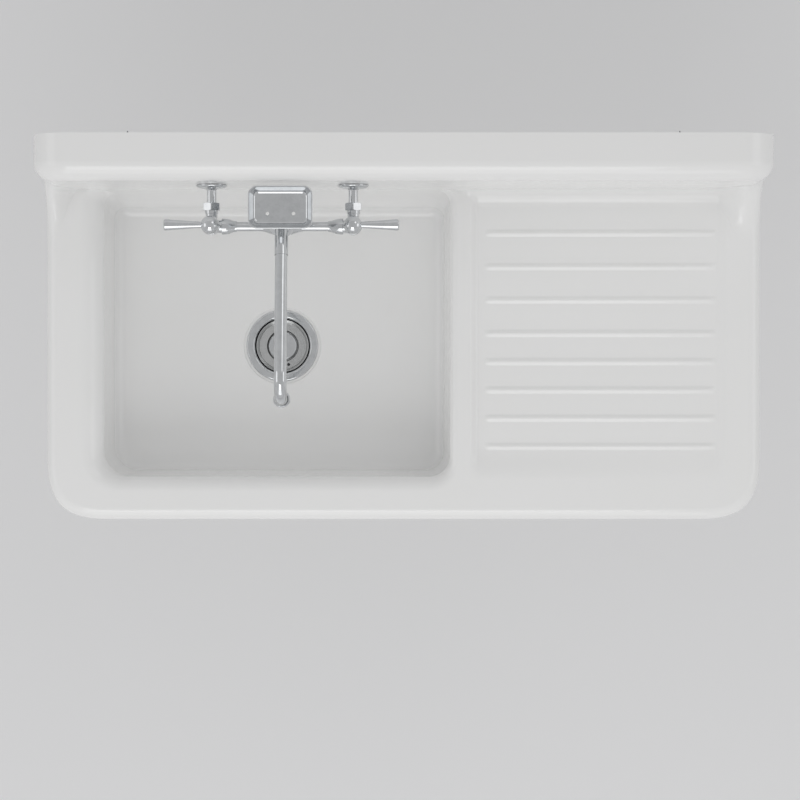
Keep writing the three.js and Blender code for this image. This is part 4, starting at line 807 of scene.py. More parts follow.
    def bowl_body(self, grow: float, coat: Coat) -> BMesh:
        """The bowl's hollow, or, grown by the iron's thickness, its outside."""
        lip, radius = self.left_lip - grow, self.foot_radius + grow
        depths = [grow + lip * (1 - math.cos(a)) for a in spread(0, QUARTER, self.roll_steps + 8)]
        mouth = -grow / 2 if grow > 0 else self.overcut
        rings = [[p.xy.to_3d() + Vector((0, 0, mouth)) for p in self.bowl_plan(depths[0], 0, grow)]]
        rings += [self.bowl_plan(depth, 0, grow) for depth in [*depths, 60, 90, 115]]
        rings += [self.bowl_plan(self.bowl_depth - self.foot_radius + radius * math.sin(a),
            radius * (1 - math.cos(a)), grow) for a in self.turns]
        floor, low = rings[-1], self.bowl_depth + self.bowl_fall + grow
        outlet = self.drain_circle(self.seat_radius + 2 + grow, low)
        rings += [[a.lerp(b, share) for a, b in zip(floor, outlet)] for share in spread(0, 1, 10)[1:-1]]
        rings += [outlet, self.drain_circle(self.seat_radius + grow, low + self.seat_depth)]
        return skin(rings, coat)

    def board_drop(self, x: float) -> float:
        """How deep the drainboard's field lies at x."""
        along = (x - self.board_left) / (self.board_right - self.board_left)
        fall, rise = ease(x, self.board_left, self.step_end), ease(x, self.bank, self.board_right)
        return mix(self.drop_left, self.drop_right, along) * fall * (1 - rise)

    def board_body(self, extra: float, top: float, coat: Coat) -> BMesh:
        """The drainboard's hollow, with its floor lowered by extra."""
        stations = spread(self.board_left, self.step_end, 14) + spread(self.step_end, self.bank, 6)[1:-1]
        stations += spread(self.bank, self.board_right, 14)
        front = self.reach - self.board_front_rim
        ramp = front - self.board_ramp
        rings = []
        for x in stations:
            drop = self.board_drop(x)
            section = [(self.splash_reach, top), (self.splash_reach, -drop - extra)]
            section += [(reach, -drop * (1 - ease(reach, ramp, front)) - extra) for reach in spread(ramp,
                front, 18)]
            rings.append([at(x, reach, z) for reach, z in section + [(front, top)]])
        return skin(rings, coat)

    def board_rib(self, reach: float) -> BMesh:
        """One rounded rib that follows the drainboard's slope and fades into it at both ends."""
        left, right, fade = self.step_end + self.rib_inset, self.bank, self.rib_width
        rings = []
        for x in spread(left, left + fade, 6) + spread(right - fade, right, 6):
            height = self.rib_height * math.sin(min(min(x - left, right - x) / fade, 1.0) * QUARTER)
            floor = -self.board_drop(x) - self.iron / 4
            section = [(share * self.rib_width / 2, self.iron / 4 + height * (
                1 + math.cos(share * math.pi)) / 2) for share in spread(-1, 1, 18)]
            section = [(-self.rib_width / 2, 0.0), *section, (self.rib_width / 2, 0.0)]
            rings.append([at(x, reach + across, floor + up) for across, up in section])
        return skin(rings)

    def cove_section(self, x: float, radius: float, level: float) -> list[Vector]:
        """The cove's section at x, where the backsplash meets the rim or the drainboard.

        Its toe and top follow the roll of the casting's end, whose radius grows from the rim's to the lip's.
        """
        from_end, depth, start = self.half - abs(x), self.iron / 2, self.splash_reach
        toe, top = lip_flare(self.rim_roll, from_end), lip_flare(self.lip_roll, from_end)
        section = []
        for a in spread(0, QUARTER, 20):
            out = radius + lip_flare(mix(self.rim_roll, self.lip_roll, a / QUARTER), from_end)
            section.append((start + radius - out * math.sin(a), level + radius - out * math.cos(a)))
        section += [(start - top - depth, level + radius), (start - top - depth, level - toe - depth),
            (start + radius, level - toe - depth)]
        return [at(x, reach, z) for reach, z in section]

    def left_cove(self) -> BMesh:
        """The large sweep at the left end, which fades out at the bowl's lip."""
        fade_end = self.left_rim - self.left_lip
        stations = [self.lip_roll * (1 - math.cos(a)) for a in self.turns] + spread(self.lip_roll, fade_end,
            14)[1:]
        return skin([self.cove_section(from_end - self.half,
            mix(self.end_sweep, 1, ease(from_end, self.rim_roll / 2, fade_end)),
            0) for from_end in stations])

    def right_cove(self) -> BMesh:
        """The cove over the divider, along the drainboard, and up the sweep of the right end."""
        start, end = self.bowl_right + self.divider_lip, self.half - self.lip_roll
        xs = spread(start, self.board_left, 8) + spread(self.board_left, self.step_end, 14)[1:]
        xs += spread(self.step_end, self.bank, 8)[1:-1] + spread(self.bank, self.board_right, 14)
        xs += spread(self.board_right, end, 10)[1:]
        xs += [self.half - self.lip_roll * (1 - math.cos(a)) for a in self.turns[-2::-1]]
        rings = []
        for x in xs:
            divider = mix(1, self.divider_cove, ease(x, start, self.board_left))
            board = mix(divider, self.board_cove, ease(x, self.board_left, self.step_end))
            rings.append(self.cove_section(x, mix(board, self.end_sweep, ease(x, self.bank, end)),
                -self.board_drop(x)))
        return skin(rings)

    def back_rib(self, x: float) -> BMesh:
        """An upright rib that carries the backsplash against the wall."""
        low, mid = self.apron_edge - self.apron_height, self.splash_reach - self.iron / 2
        under = mid - low * math.tan(math.radians(self.bowl_back_taper))
        foot = mid if x > self.bowl_right or x < self.bowl_left else under
        top = self.splash_height - self.lip_roll
        return side_profile([(0, top), (mid, top), (mid, 0), (foot, low), (0, low)], x, self.back_rib_width)

    def hanger_lug(self, x: float) -> BMesh:
        """The lug behind the backsplash that hooks over a wall hanger."""
        root, front = self.splash_reach - self.iron / 2, self.lug_front
        top, thick = self.lug_top, self.lug_thickness
        outline = [(front - thick, top), (front - thick, top - self.lug_drop), (front, top - self.lug_drop),
            (front, top - thick - 4), (root, top - thick - 8), (root, top)]
        return side_profile(outline, x, self.lug_width)

    def holes(self) -> list[BMesh]:
        """Tools for the drain hole and the two inlet holes."""
        seat, over = -(self.bowl_depth + self.bowl_fall + self.seat_depth), self.overcut
        drain = rod(self.drain_hole, seat - self.iron - over, seat + over, UP, at(DRAIN_X, DRAIN_REACH, 0),
            96)
        back, front = self.splash_reach - self.iron - over, self.splash_reach + over
        return [drain] + [rod(self.inlet_hole, back, front, FRONT, at(x, 0, self.inlet_height),
            48) for x in self.inlet_xs]

    def build(self) -> None:
        """Shapes and dresses the casting."""
        iron = self.iron
        steps = [(ADD, self.splash_block(0, SHOW)), (CUT, self.rim_block(iron, HIDDEN)),
            (CUT, self.splash_block(iron, HIDDEN)), (ADD, self.bowl_body(iron, HIDDEN)),
            (ADD, self.board_body(iron, -iron / 2, HIDDEN))]
        steps += [(ADD, self.back_rib(side * self.back_rib_spacing)) for side in (-1, 0, 1)]
        steps += [(ADD, self.hanger_lug(side * self.hanger_x)) for side in (-1, 1)]
        steps += [(CUT, self.bowl_body(0, SHOW)), (CUT, self.board_body(0, self.overcut, SHOW))]
        steps += [(ADD, self.left_cove()), (ADD, self.right_cove())]
        steps += [(ADD, self.board_rib(reach)) for reach in self.rib_reaches]
        steps += [(CUT, hole) for hole in self.holes()]
        finish_piece(fitted(self.rim_block(0, SHOW), *steps), "sink_casting", ENAMEL, under=GROUND_COAT,
            crease=40)


# ---------------------------------------------------------------- wall fixings


@dataclass(frozen=True)
class WallHangers:
    """The two hooked brackets on the wall, each with two screws."""

    x: float = 400.0
    width: float = 60.0
    plate: float = 5.0
    slot: float = 16.0
    bottom: float = 30.0
    top: float = 152.0
    hook_top: float = 77.7
    hook_rise: float = 16.0
    hook_thickness: float = 8.0
    lug_top: float = 114.0
    screw: float = 3.0
    head: float = 7.0
    head_height: float = 4.5
    in_wall: float = 9.0
    driver_slot: float = 1.6
    driver_depth: float = 1.4

    def screw_heights(self) -> list[float]:
        """The heights of a hanger's two screws."""
        return [(self.bottom + self.hook_top - self.hook_thickness) / 2, (self.top + self.lug_top) / 2]

    def hanger(self, x: float) -> BMesh:
        """One pressed bracket with its screw holes."""
        reach, plate, top = self.plate + self.slot, self.plate, self.hook_top
        under, tip = top - self.hook_thickness, top + self.hook_rise
        outline = [(0, self.bottom), (plate, self.bottom), (plate, under), (reach + plate, under),
            (reach + plate, tip), (reach, tip), (reach, top), (plate, top), (plate, self.top),
            (0, self.top)]
        holes = [rod(self.screw + GAP, -1, plate + 1, FRONT, at(x, 0, z), 32) for z in self.screw_heights()]
        return cut(side_profile(outline, x, self.width, 1.2, SHOW), *holes)

    def screw_body(self, x: float, z: float) -> BMesh:
        """A round-headed screw with a slot."""
        seat, head, radius = self.plate + GAP, self.head, self.screw
        crown = seat + self.head_height
        profile = [(0, -self.in_wall), (radius, 2 * radius - self.in_wall), (radius, seat), (head, seat),
            (head * 0.9, seat + self.head_height * 0.6), (head * 0.5, crown), (0, crown)]
        floor = crown - self.driver_depth
        corners = [(floor, z - 10), (seat + 20, z - 10), (seat + 20, z + 10), (floor, z + 10)]
        return cut(turned(profile, FRONT, at(x, 0, z), 40),
            side_profile(corners, x, self.driver_slot, coat=SHOW))

    def build(self) -> None:
        """Shapes and dresses the hangers and screws."""
        for i, (side, sign) in enumerate((("left", -1), ("right", 1))):
            x = sign * self.x
            finish_piece(self.hanger(x), f"wall_hanger_{side}", ZINC)
            for k, z in enumerate(self.screw_heights()):
                finish_piece(self.screw_body(x, z), f"hanger_screw_{2 * i + k + 1}", ZINC)


# ---------------------------------------------------------------- drain


@dataclass(frozen=True)
class BasketStrainer:
    """The strainer in the bowl's floor, with its nuts and tailpiece below and its lift-out basket."""

    seat_height: float = -158.0
    seat_radius: float = 58.0
    hole: float = 45.0
    iron: float = 6.5
    wall: float = 1.6
    cup_depth: float = 42.0
    spigot: float = 23.5
    spigot_length: float = 33.0
    gasket: float = 2.5
    friction: float = 1.4
    nut_height: float = 12.0
    nut_lugs: int = 6
    tail: float = 19.0
    tail_wall: float = 2.0
    tail_length: float = 103.0
    tail_washer: float = 2.0
    slip_height: float = 22.0
    basket_rim: float = 40.5
    basket_ledge: float = 36.0
    basket_well: float = 24.0
    cap: float = 21.6
    sheet: float = 1.2
    ledge_depth: float = 17.0
    overflow: float = 2.25
    well_holes: int = 8
    post: float = 3.2

    @property
    def centre(self) -> Vector:
        """The middle of the seat in the bowl's floor."""
        return at(DRAIN_X, DRAIN_REACH, self.seat_height)

    @property
    def cup(self) -> float:
        """The outer radius of the strainer's cup."""
        return self.hole - GAP - 1

    @property
    def nut_top(self) -> float:
        """The height of the locknut's upper face."""
        return -self.iron - self.gasket - self.friction - 3 * GAP

    @property
    def spigot_end(self) -> float:
        """The height of the spigot's lower end."""
        return -self.cup_depth - self.spigot_length

    @property
    def basket_floor(self) -> float:
        """The height of the basket's underside."""
        return -self.cup_depth + 2 * GAP + 3

    @property
    def cap_top(self) -> float:
        """The height of the basket's cap."""
        return -self.ledge_depth + 5.5

    def spun(self, profile: Profile, sides: int, edge: float = 0.5) -> BMesh:
        """A profile turned about the drain's upright axis."""
        return turned(profile, UP, self.centre, sides, edge)

    def washer(self, inner: float, outer: float, top: float, height: float) -> BMesh:
        """A washer round the drain's axis, under a height."""
        return sleeve(inner, outer, top - height, top, UP, self.centre)

    def strainer_body(self) -> BMesh:
        """The pressed flange and cup with the threaded spigot."""
        cup, seat = self.cup, self.seat_radius
        inner, bore = cup - self.wall, self.spigot - 2.2 * self.wall
        floor, nut_end = -self.cup_depth, self.nut_top - self.nut_height
        profile = [(bore, self.spigot_end), (self.spigot, self.spigot_end),
            (self.spigot, floor - 2 * self.wall), (inner * 0.86, floor + self.wall), (cup, nut_end - 1),
            (cup, GAP), (seat - 2.5, GAP), (seat - 3.2, 1.4), (seat - 4.4, 2.3), (seat - 6, 2.65),
            (cup + 2.8, 2.7), (cup + 0.9, 2.4), (cup - 0.3, 1.4), (inner + 0.3, 0), (inner, -3),
            (inner, nut_end), (inner * 0.84, floor + 4), (self.basket_well + 3, floor), (bore, floor)]
        return self.spun(profile, 96, 1.6)

    def locknut(self) -> BMesh:
        """The large nut with its lugs."""
        foot, top = self.nut_top - self.nut_height, self.nut_top
        blocks = []
        for i in range(self.nut_lugs):
            block = bmesh.new()
            bmesh.ops.create_cube(block, size=1.0)
            bmesh.ops.scale(block, vec=(9, 11, top - foot), verts=block.verts)
            bmesh.ops.translate(block, vec=(self.seat_radius - 4.5, 0, (top + foot) / 2), verts=block.verts)
            turn = Matrix.Rotation(2 * math.pi * i / self.nut_lugs, 3, "Z")
            bmesh.ops.rotate(block, cent=(0, 0, 0), matrix=turn, verts=block.verts)
            bmesh.ops.translate(block, vec=self.centre, verts=block.verts)
            blocks.append(round_edges(whole(block), 0.8, 40))
        return joined(sleeve(self.cup + GAP, self.cup + 8, foot, top, UP, self.centre, 0.8), *blocks)

    def tailpiece(self) -> BMesh:
        """The outlet tube with the flange that the slip nut holds."""
        top = self.spigot_end - 2 * GAP - self.tail_washer
        bore, flange = self.tail - self.tail_wall, self.spigot - 1
        foot, under = top - self.tail_length, top - 2.0
        return self.spun([(bore, foot), (self.tail, foot), (self.tail, under), (flange, under),
            (flange, top), (bore, top)], 72)

    def slip_nut(self) -> BMesh:
        """The hexagon slip nut with its chamfered corners."""
        lip = self.spigot_end - 3 * GAP - 2 * self.tail_washer
        foot = lip - 4
        top = foot + self.slip_height
        bores = [rod(self.spigot + GAP, lip, top + 1, UP, self.centre, 72),
            rod(self.tail + GAP, foot - 1, lip + 1, UP, self.centre, 72)]
        return round_edges(hexagon(2 * (self.spigot + 5), foot, top, UP, self.centre, 1.12, (2, 2), *bores),
            0.4, 28)

    def basket(self) -> BMesh:
        """The pressed basket: a rim, a ledge and a well with holes for the water."""
        rim, ledge, well, sheet = self.basket_rim, self.basket_ledge, self.basket_well, self.sheet
        top, shelf, floor, post = -4.5, -self.ledge_depth, self.basket_floor, self.post + GAP
        profile = [(post, floor), (well + sheet - 1, floor), (well + sheet, floor + 1),
            (well + sheet, shelf - sheet), (ledge + sheet / 2, shelf - sheet), (rim, top - sheet),
            (rim, top), (rim - sheet, top), (ledge, shelf), (well, shelf), (well, floor + sheet),
            (post, floor + sheet)]
        tools = [rod(self.overflow, shelf - 5, shelf + 5, UP, self.centre + Vector((9, -28.8, 0)), 32)]
        for i in range(self.well_holes):
            middle = self.centre + away(2 * math.pi * (i + 1) / self.well_holes, well * 0.66)
            tools.append(rod(self.overflow, floor - 1, floor + 5, UP, middle, 24))
        return cut(self.spun(profile, 96, 0.9), *tools)

    def basket_cap(self) -> BMesh:
        """The round cap that is gripped to lift the basket."""
        radius, top, bore = self.cap, self.cap_top, self.post + GAP
        return self.spun([(0, top - 1.5), (bore, top - 1.5), (bore, top - 4), (radius - 1, top - 4),
            (radius, top - 3), (radius, top - 1.2), (radius - 1.2, top), (radius * 0.6, top - 0.4),
            (0, top - 0.5)], 72)

    def basket_post(self) -> BMesh:
        """The post that joins the basket, its seal and its cap."""
        low, foot = self.basket_floor + self.sheet + GAP, 2 * GAP - self.cup_depth
        end = self.cap_top - 1.5 - GAP
        post, collar = self.post, 2 * self.post
        return self.spun([(0, foot), (post, foot), (post, low), (collar, low), (collar, low + 2),
            (post, low + 2), (post, end), (0, end)], 32, 0.4)

    def build(self) -> None:
        """Shapes and dresses the drain and its basket."""
        inner, outer = self.cup + GAP, self.seat_radius + self.iron - 2
        gasket_top = -self.iron - GAP
        finish_piece(self.strainer_body(), "strainer_body")
        finish_piece(self.washer(inner, outer, gasket_top, self.gasket), "strainer_gasket", RUBBER)
        friction = self.washer(inner, outer - 2, gasket_top - self.gasket - GAP, self.friction)
        finish_piece(friction, "friction_washer", FIBRE)
        finish_piece(self.locknut(), "strainer_locknut", BRASS)
        finish_piece(self.tailpiece(), "tailpiece")
        washer = self.washer(self.tail, self.spigot - 0.5, self.spigot_end - GAP, self.tail_washer)
        finish_piece(washer, "tailpiece_washer", RUBBER)
        finish_piece(self.slip_nut(), "slip_nut")
        finish_piece(self.basket(), "strainer_basket", STAINLESS, Body.BASKET)
        finish_piece(self.basket_post(), "basket_post", STAINLESS, Body.BASKET)
        finish_piece(self.basket_cap(), "basket_cap", body=Body.BASKET)
        under, foot = self.basket_floor - GAP, GAP - self.cup_depth
        seal = self.washer(self.post + GAP, self.basket_well + 1.5, under, under - foot)
        finish_piece(seal, "basket_seal", RUBBER, Body.BASKET)


# ---------------------------------------------------------------- tap


@dataclass(frozen=True)
class TapSizes:
    """Measures that the parts of the tap share."""

    x: float = -177.0
    spacing: float = 207.0
    height: float = 95.0
    reach: float = 128.0
    thread: float = 10.0
    neck: float = 7.0
    bore: float = 5.5
    port_thread: float = 9.5
    union_reach: float = 93.6
    shank_end: float = 98.5
    valve: float = 12.5
    valve_height: float = 23.0
    valve_foot: float = 17.0
    port_length: float = 22.0
    stem: float = 3.5
    bonnet_top: float = 26.5
    handle_height: float = 41.0
    hub: float = 15.0
    hub_rise: float = 17.0
    hub_bore: float = 9.5
    spout_neck: float = 10.0
    spout_collar: float = 3.0
    post_behind: float = 24.0

    @property
    def centre(self) -> Vector:
        """The middle of the bridge's hub, on the water line."""
        return at(self.x, self.reach, self.height)

    @property
    def behind(self) -> Vector:
        """The foot of the soap dish's post."""
        return self.centre + Vector((0, self.post_behind, 0))

    def inlet(self, sign: int) -> Vector:
        """The point on the wall behind an inlet."""
        return at(self.x + sign * self.spacing / 2, 0, self.height)

    def valve_centre(self, sign: int) -> Vector:
        """The middle of a valve, on the water line."""
        return at(self.x + sign * self.spacing / 2, self.reach, self.height)


TAP = TapSizes()


@dataclass(frozen=True)
class Inlet:
    """One inlet through the backsplash: shank, washer, locknut, wall flange and union nut."""

    side: str
    sign: int
    splash: float = 67.0
    iron: float = 6.5
    back: float = 25.0
    flange: float = 22.5
    flange_height: float = 6.0
    nut_height: float = 12.0
    washer: float = 3.0
    union_length: float = 11.2
    union_flats: float = 23.8
    pitch: float = 1.8
    collar: float = 2.5

    @property
    def centre(self) -> Vector:
        """The point on the wall behind it."""
        return TAP.inlet(self.sign)

    def shank(self) -> BMesh:
        """The threaded shank with the collar for its union nut."""
        top, end, thread, bore = self.splash + self.flange_height, TAP.shank_end, TAP.thread, TAP.bore
        profile = [(bore, self.back), (thread - 0.6, self.back)]
        height = self.back + 1.0
        while height < self.splash - self.iron - 18:
            profile += [(thread, height), (thread - 0.7, height + self.pitch / 2)]
            height += self.pitch
        profile += [(thread, height), (thread, top), (TAP.neck, top + 2), (TAP.neck, end - self.collar),
            (TAP.port_thread, end - self.collar), (TAP.port_thread, end), (bore, end)]
        return turned(profile, FRONT, self.centre, 40, 0.3)

    def wall_flange(self) -> BMesh:
        """The domed cover on the backsplash."""
        seat, inner = self.splash + GAP, TAP.thread + GAP
        dome = [(inner + (self.flange - inner) * math.cos(a),
            seat + 1 + (self.flange_height - 1) * math.sin(a)) for a in spread(0, QUARTER, 12)]
        return turned([(inner, seat), (self.flange, seat), *dome], FRONT, self.centre, 72, 0.3)

    def union_nut(self) -> BMesh:
        """The hexagon nut between shank and valve."""
        start, stop = TAP.union_reach, TAP.union_reach + self.union_length
        lip = TAP.shank_end - self.collar - GAP
        bores = [rod(TAP.neck + GAP, start - 1, lip + 1, FRONT, self.centre),
            rod(TAP.port_thread + GAP, lip, stop + 1, FRONT, self.centre)]
        nut = hexagon(self.union_flats, start, stop, FRONT, self.centre, 1.13, (1.6, 0.96))
        return round_edges(cut(nut, *bores), 0.3, 26)

    def build(self) -> None:
        """Shapes and dresses the inlet."""
        side, loose = self.side, TAP.thread + GAP
        front = self.splash - self.iron - GAP
        nut_front = front - self.washer - GAP
        nut_back = nut_front - self.nut_height
        bore = rod(loose, nut_back - 1, nut_front + 1, FRONT, self.centre)
        nut = cut(hexagon(3 * TAP.thread, nut_back, nut_front, FRONT, self.centre, 1.13, (1.8, 1.08)), bore)
        washer = sleeve(loose, loose + 7, front - self.washer, front, FRONT, self.centre)
        finish_piece(self.shank(), f"inlet_shank_{side}")
        finish_piece(washer, f"shank_washer_{side}", RUBBER)
        finish_piece(round_edges(nut, 0.4, 26), f"shank_locknut_{side}", BRASS)
        finish_piece(self.wall_flange(), f"wall_flange_{side}")
        finish_piece(self.union_nut(), f"union_nut_{side}")


@dataclass(frozen=True)
class LeverValve:
    """One valve with its bonnet, and its lever handle on a ball hub."""

    side: str
    sign: int
    body: Body
    cartridge: float = 8.2
    ball: float = 13.5
    lever_length: float = 67.0
    lever_root: float = 4.5
    lever_tip: float = 8.4
    lever_rise: float = 1.5
    set_screw: float = 2.0

    @property
    def centre(self) -> Vector:
        """The middle of the valve, on the water line."""
        return TAP.valve_centre(self.sign)

    @property
    def screw_centre(self) -> Vector:
        """Where the set screw's line crosses the stem."""
        return self.centre + Vector((0, 0, TAP.handle_height - self.ball * 0.3))

    def valve_body(self) -> BMesh:
        """The upright barrel with a tail to the wall and a port to the bridge."""
        centre, thread, bore, length = self.centre, TAP.port_thread, TAP.bore, TAP.port_length
        radius, foot, top = TAP.valve, -TAP.valve_foot, TAP.valve_height
        tail, inward = TAP.reach - TAP.shank_end - GAP, LEFT if self.sign > 0 else RIGHT
        profile = [(0, foot), (radius * 0.45, foot), (radius * 0.85, foot + 3), (radius, foot + 8),
            (radius, top - 7), (radius - 1, top - 5), (radius - 1, top), (0, top)]
        solids = [turned(profile, UP, centre, 64, 1.2),
            rod(thread, -tail, 11 - tail, FRONT, centre, 48, 0.4),
            rod(thread - 1, -tail, 0, FRONT, centre, 48), rod(thread, 0, length, inward, centre, 48, 0.4)]
        bores = [rod(bore, -tail - 1, 0, FRONT, centre, 32), rod(bore, 0, length + 1, inward, centre, 32),
            rod(self.cartridge + GAP, 4, top + 1, UP, centre, 40), rod(TAP.stem, 0, 6, UP, centre, 24)]
        return cut(joined(*solids), *bores)

    def bonnet(self) -> BMesh:
        """The bonnet nut that closes the valve round its stem."""
        inner, top, outer = TAP.valve - 1 + GAP, TAP.bonnet_top, TAP.valve + 1
        hole, under = TAP.stem + 1.5, TAP.valve_height + GAP
        return turned([(inner, top - 8), (outer, top - 8), (outer, top - 2), (TAP.valve - 2, top),
            (hole, top), (hole, under), (inner, under)], UP, self.centre, 64, 0.7)

    def handle(self) -> BMesh:
        """The ball hub with its skirt and a lever that flares to a nearly flat end."""
        centre, height, radius = self.centre, TAP.handle_height, self.ball
        skirt = rod(radius * 0.7, TAP.bonnet_top + GAP, height, UP, centre, 56, 0.6)
        root, tip, end = self.lever_root, self.lever_tip, self.lever_length
        profile = [(0, 0), (root, 0), (root, radius), (tip, end - 2.6), (tip - 0.6, end - 1.0),
            (tip - 2.2, end - 0.3), (0, end)]
        outward = RIGHT if self.sign > 0 else LEFT
        lever = turned(profile, outward, centre + Vector((0, 0, height + self.lever_rise)), 48, 0)
        socket = rod(TAP.stem + GAP, 0, height - 2 + GAP, UP, centre, 32)
        screw = rod(self.set_screw + GAP, -radius - 1, 0, FRONT, self.screw_centre, 24)
        return cut(joined(ball(radius, height, centre, 28), skirt, lever), socket, screw)

    def build(self) -> None:
        """Shapes and dresses the valve and its handle."""
        centre, side, start = self.centre, self.side, TAP.stem + GAP
        screw = rod(self.set_screw, -start - 7, -start, FRONT, self.screw_centre, 24, 0.3)
        cartridge = sleeve(start, self.cartridge, 4 + GAP, TAP.valve_height - GAP, UP, centre)
        stem = rod(TAP.stem, 8, TAP.handle_height - 2, UP, centre, 32, 0.4)
        finish_piece(self.valve_body(), f"valve_body_{side}")
        finish_piece(cartridge, f"valve_cartridge_{side}", PLASTIC)
        finish_piece(self.bonnet(), f"bonnet_{side}")
        finish_piece(stem, f"valve_stem_{side}", BRASS, self.body)
        finish_piece(self.handle(), f"lever_handle_{side}", body=self.body)
        finish_piece(screw, f"handle_screw_{side}", STAINLESS, self.body)


@dataclass(frozen=True)
class Bridge:
    """The bridge between the valves: its hub, tubes, couplings and the ring nut on the spout."""

    tube: float = 6.8
    collar: float = 2.5
    coupling_length: float = 22.0
    foot: float = 15.0
    flare: float = 18.0
    boss: float = 7.5
    web: float = 6.0
    pin: float = 3.0
    ring_grip: float = 4.0
    ring_height: float = 11.0

    @property
    def end(self) -> float:
        """How far a tube reaches from the hub's middle."""
        return TAP.spacing / 2 - TAP.port_length - GAP

    def body(self) -> BMesh:
        """The hub with a flared tube to each side and the boss for the soap dish's post."""
        centre, hub, end, thread, tube = TAP.centre, TAP.hub, self.end, TAP.port_thread, self.tube
        start, rise, foot = hub * 0.9, TAP.hub_rise, -self.foot
        profile = [(0, 0), (hub * 0.8, 0), (hub * 0.8, start), (tube + 1, start + self.flare * 0.7),
            (tube, start + self.flare), (tube, end - self.collar), (thread, end - self.collar),
            (thread, end), (0, end)]
        solids = [turned(profile, axis, centre, 56, 2.5) for axis in (RIGHT, LEFT)]
        barrel = [(0, foot), (hub * 0.4, foot), (hub * 0.85, foot + 3), (hub, foot + 8), (hub, rise),
            (0, rise)]
        solids += [turned(barrel, UP, centre, 64, 1.4), rod(self.boss, -6, 8, UP, TAP.behind, 48, 0.8),
            rod(self.web, -TAP.post_behind, 0, FRONT, centre, 48)]
        bores = [rod(TAP.bore, -end - 1, end + 1, RIGHT, centre, 32),
            rod(TAP.hub_bore, -8, rise + 1, UP, centre, 48), rod(self.pin + GAP, -3, 9, UP, TAP.behind, 24)]
        return cut(joined(*solids), *bores)

    def coupling(self, outward: Axis) -> BMesh:
        """The tapered coupling that holds an end of the bridge."""
        lip, end, tube, thread = self.end - self.collar - GAP, self.end + GAP + 7, self.tube, TAP.port_thread
        start = end - self.coupling_length
        return turned([(tube + GAP, start), (tube + 1.1, start), (tube + 1.5, end - 17),
            (thread + 1.2, end - 11), (TAP.valve - 0.8, end - 5), (TAP.valve - 0.4, end),
            (thread + GAP, end), (thread + GAP, lip), (tube + GAP, lip)], outward, TAP.centre, 56, 0.8)

    def ring(self) -> BMesh:
        """The ring nut that keeps the spout's collar down."""
        inner, foot, hub, neck = TAP.hub + GAP, TAP.hub_rise - self.ring_grip, TAP.hub, TAP.spout_neck + GAP
        under, top = TAP.hub_rise + TAP.spout_collar + 2 * GAP, foot + self.ring_height
        return turned([(inner, foot), (hub + 2.5, foot), (hub + 2.5, top - 4), (hub - 1.5, top),
            (neck, top), (neck, under), (inner, under)], UP, TAP.centre, 64, 0.8)

    def build(self) -> None:
        """Shapes and dresses the bridge."""
        finish_piece(self.body(), "bridge_body")
        finish_piece(self.coupling(RIGHT), "bridge_coupling_right")
        finish_piece(self.coupling(LEFT), "bridge_coupling_left")
        finish_piece(self.ring(), "hub_ring")


@dataclass(frozen=True)
class SoapDish:
    """The soap dish and the post that carries it."""

    width: float = 93.0
    length: float = 62.0
    reach: float = 105.0
    bottom: float = 165.0
    depth: float = 15.0
    flare: float = 6.0
    wall: float = 3.0
    corner: float = 13.0
    hole_spacing: float = 37.4
    hole_offset: float = 8.5
    hole: float = 2.5
    boss: float = 5.0
    post: float = 4.0
    boss_radius: float = 7.5
    boss_top: float = 8.0

    def ring(self, inset: float, z: float) -> list[Vector]:
        """A rectangle with round corners at a height above the dish's bottom."""
        radius = max(self.corner - inset / 2, 2.0)
        half_x, half_y = self.width / 2 - inset - radius, self.length / 2 - inset - radius
        points = []
        for turn, (sx, sy) in enumerate(((1, 1), (-1, 1), (-1, -1), (1, -1))):
            corner = Vector((TAP.x + sx * half_x, -self.reach + sy * half_y, self.bottom + z))
            points += [corner + away(a, radius) for a in spread(turn * QUARTER, (turn + 1) * QUARTER, 10)]
        return points

    def dish(self) -> BMesh:
        """The tray that flares to its rim, with two drain holes."""
        flare, wall, depth, foot = self.flare, self.wall, self.depth, self.flare + self.wall
        outside = [(flare + 1.5, 0), (flare, 0.6), (flare * 0.75, 1.6), (flare / 2, 3), (0.2, depth - 2.6),
            (0, depth - 1.8), (0.1, depth - 0.8), (0.6, depth - 0.2), (1.2, depth)]
        inside = [(foot + 4, wall), (foot + 1.5, wall + 0.3), (foot, wall + 1.2),
            (flare / 2 + wall + 0.6, wall + 3), (wall, depth - 2), (wall - 0.8, depth - 0.4),
            (wall - 1.2, depth), (wall - 1.2, depth + 1)]
        middle = at(TAP.x, TAP.reach - TAP.post_behind, self.bottom)
        boss = rod(self.boss_radius, -self.boss, 1, UP, middle, 48, 0.6)
        socket = rod(self.post - 1 + GAP, -self.boss - 1, 1, UP, middle, 24)
        aside, reach = self.hole_spacing / 2, self.reach + self.hole_offset
        holes = [rod(self.hole, -1, wall + 1, UP, at(TAP.x + x, reach, self.bottom), 32) for x in (-aside,
            aside)]
        tray = joined(skin([self.ring(*step) for step in outside]), boss)
        return cut(tray, skin([self.ring(*step) for step in inside]), socket, *holes)

    def build(self) -> None:
        """Shapes and dresses the dish and its post."""
        post, pin, foot = self.post, self.post - 1, self.boss_top + GAP
        top = self.bottom - TAP.height - self.boss - GAP
        profile = [(0, -2), (pin, -2), (pin, foot), (post + 1, foot), (post + 1, foot + 3),
            (post, foot + 5), (post, top), (pin, top), (pin, top + self.boss), (0, top + self.boss)]
        finish_piece(turned(profile, UP, TAP.behind, 40, 0.4), "dish_post")
        finish_piece(self.dish(), "soap_dish")


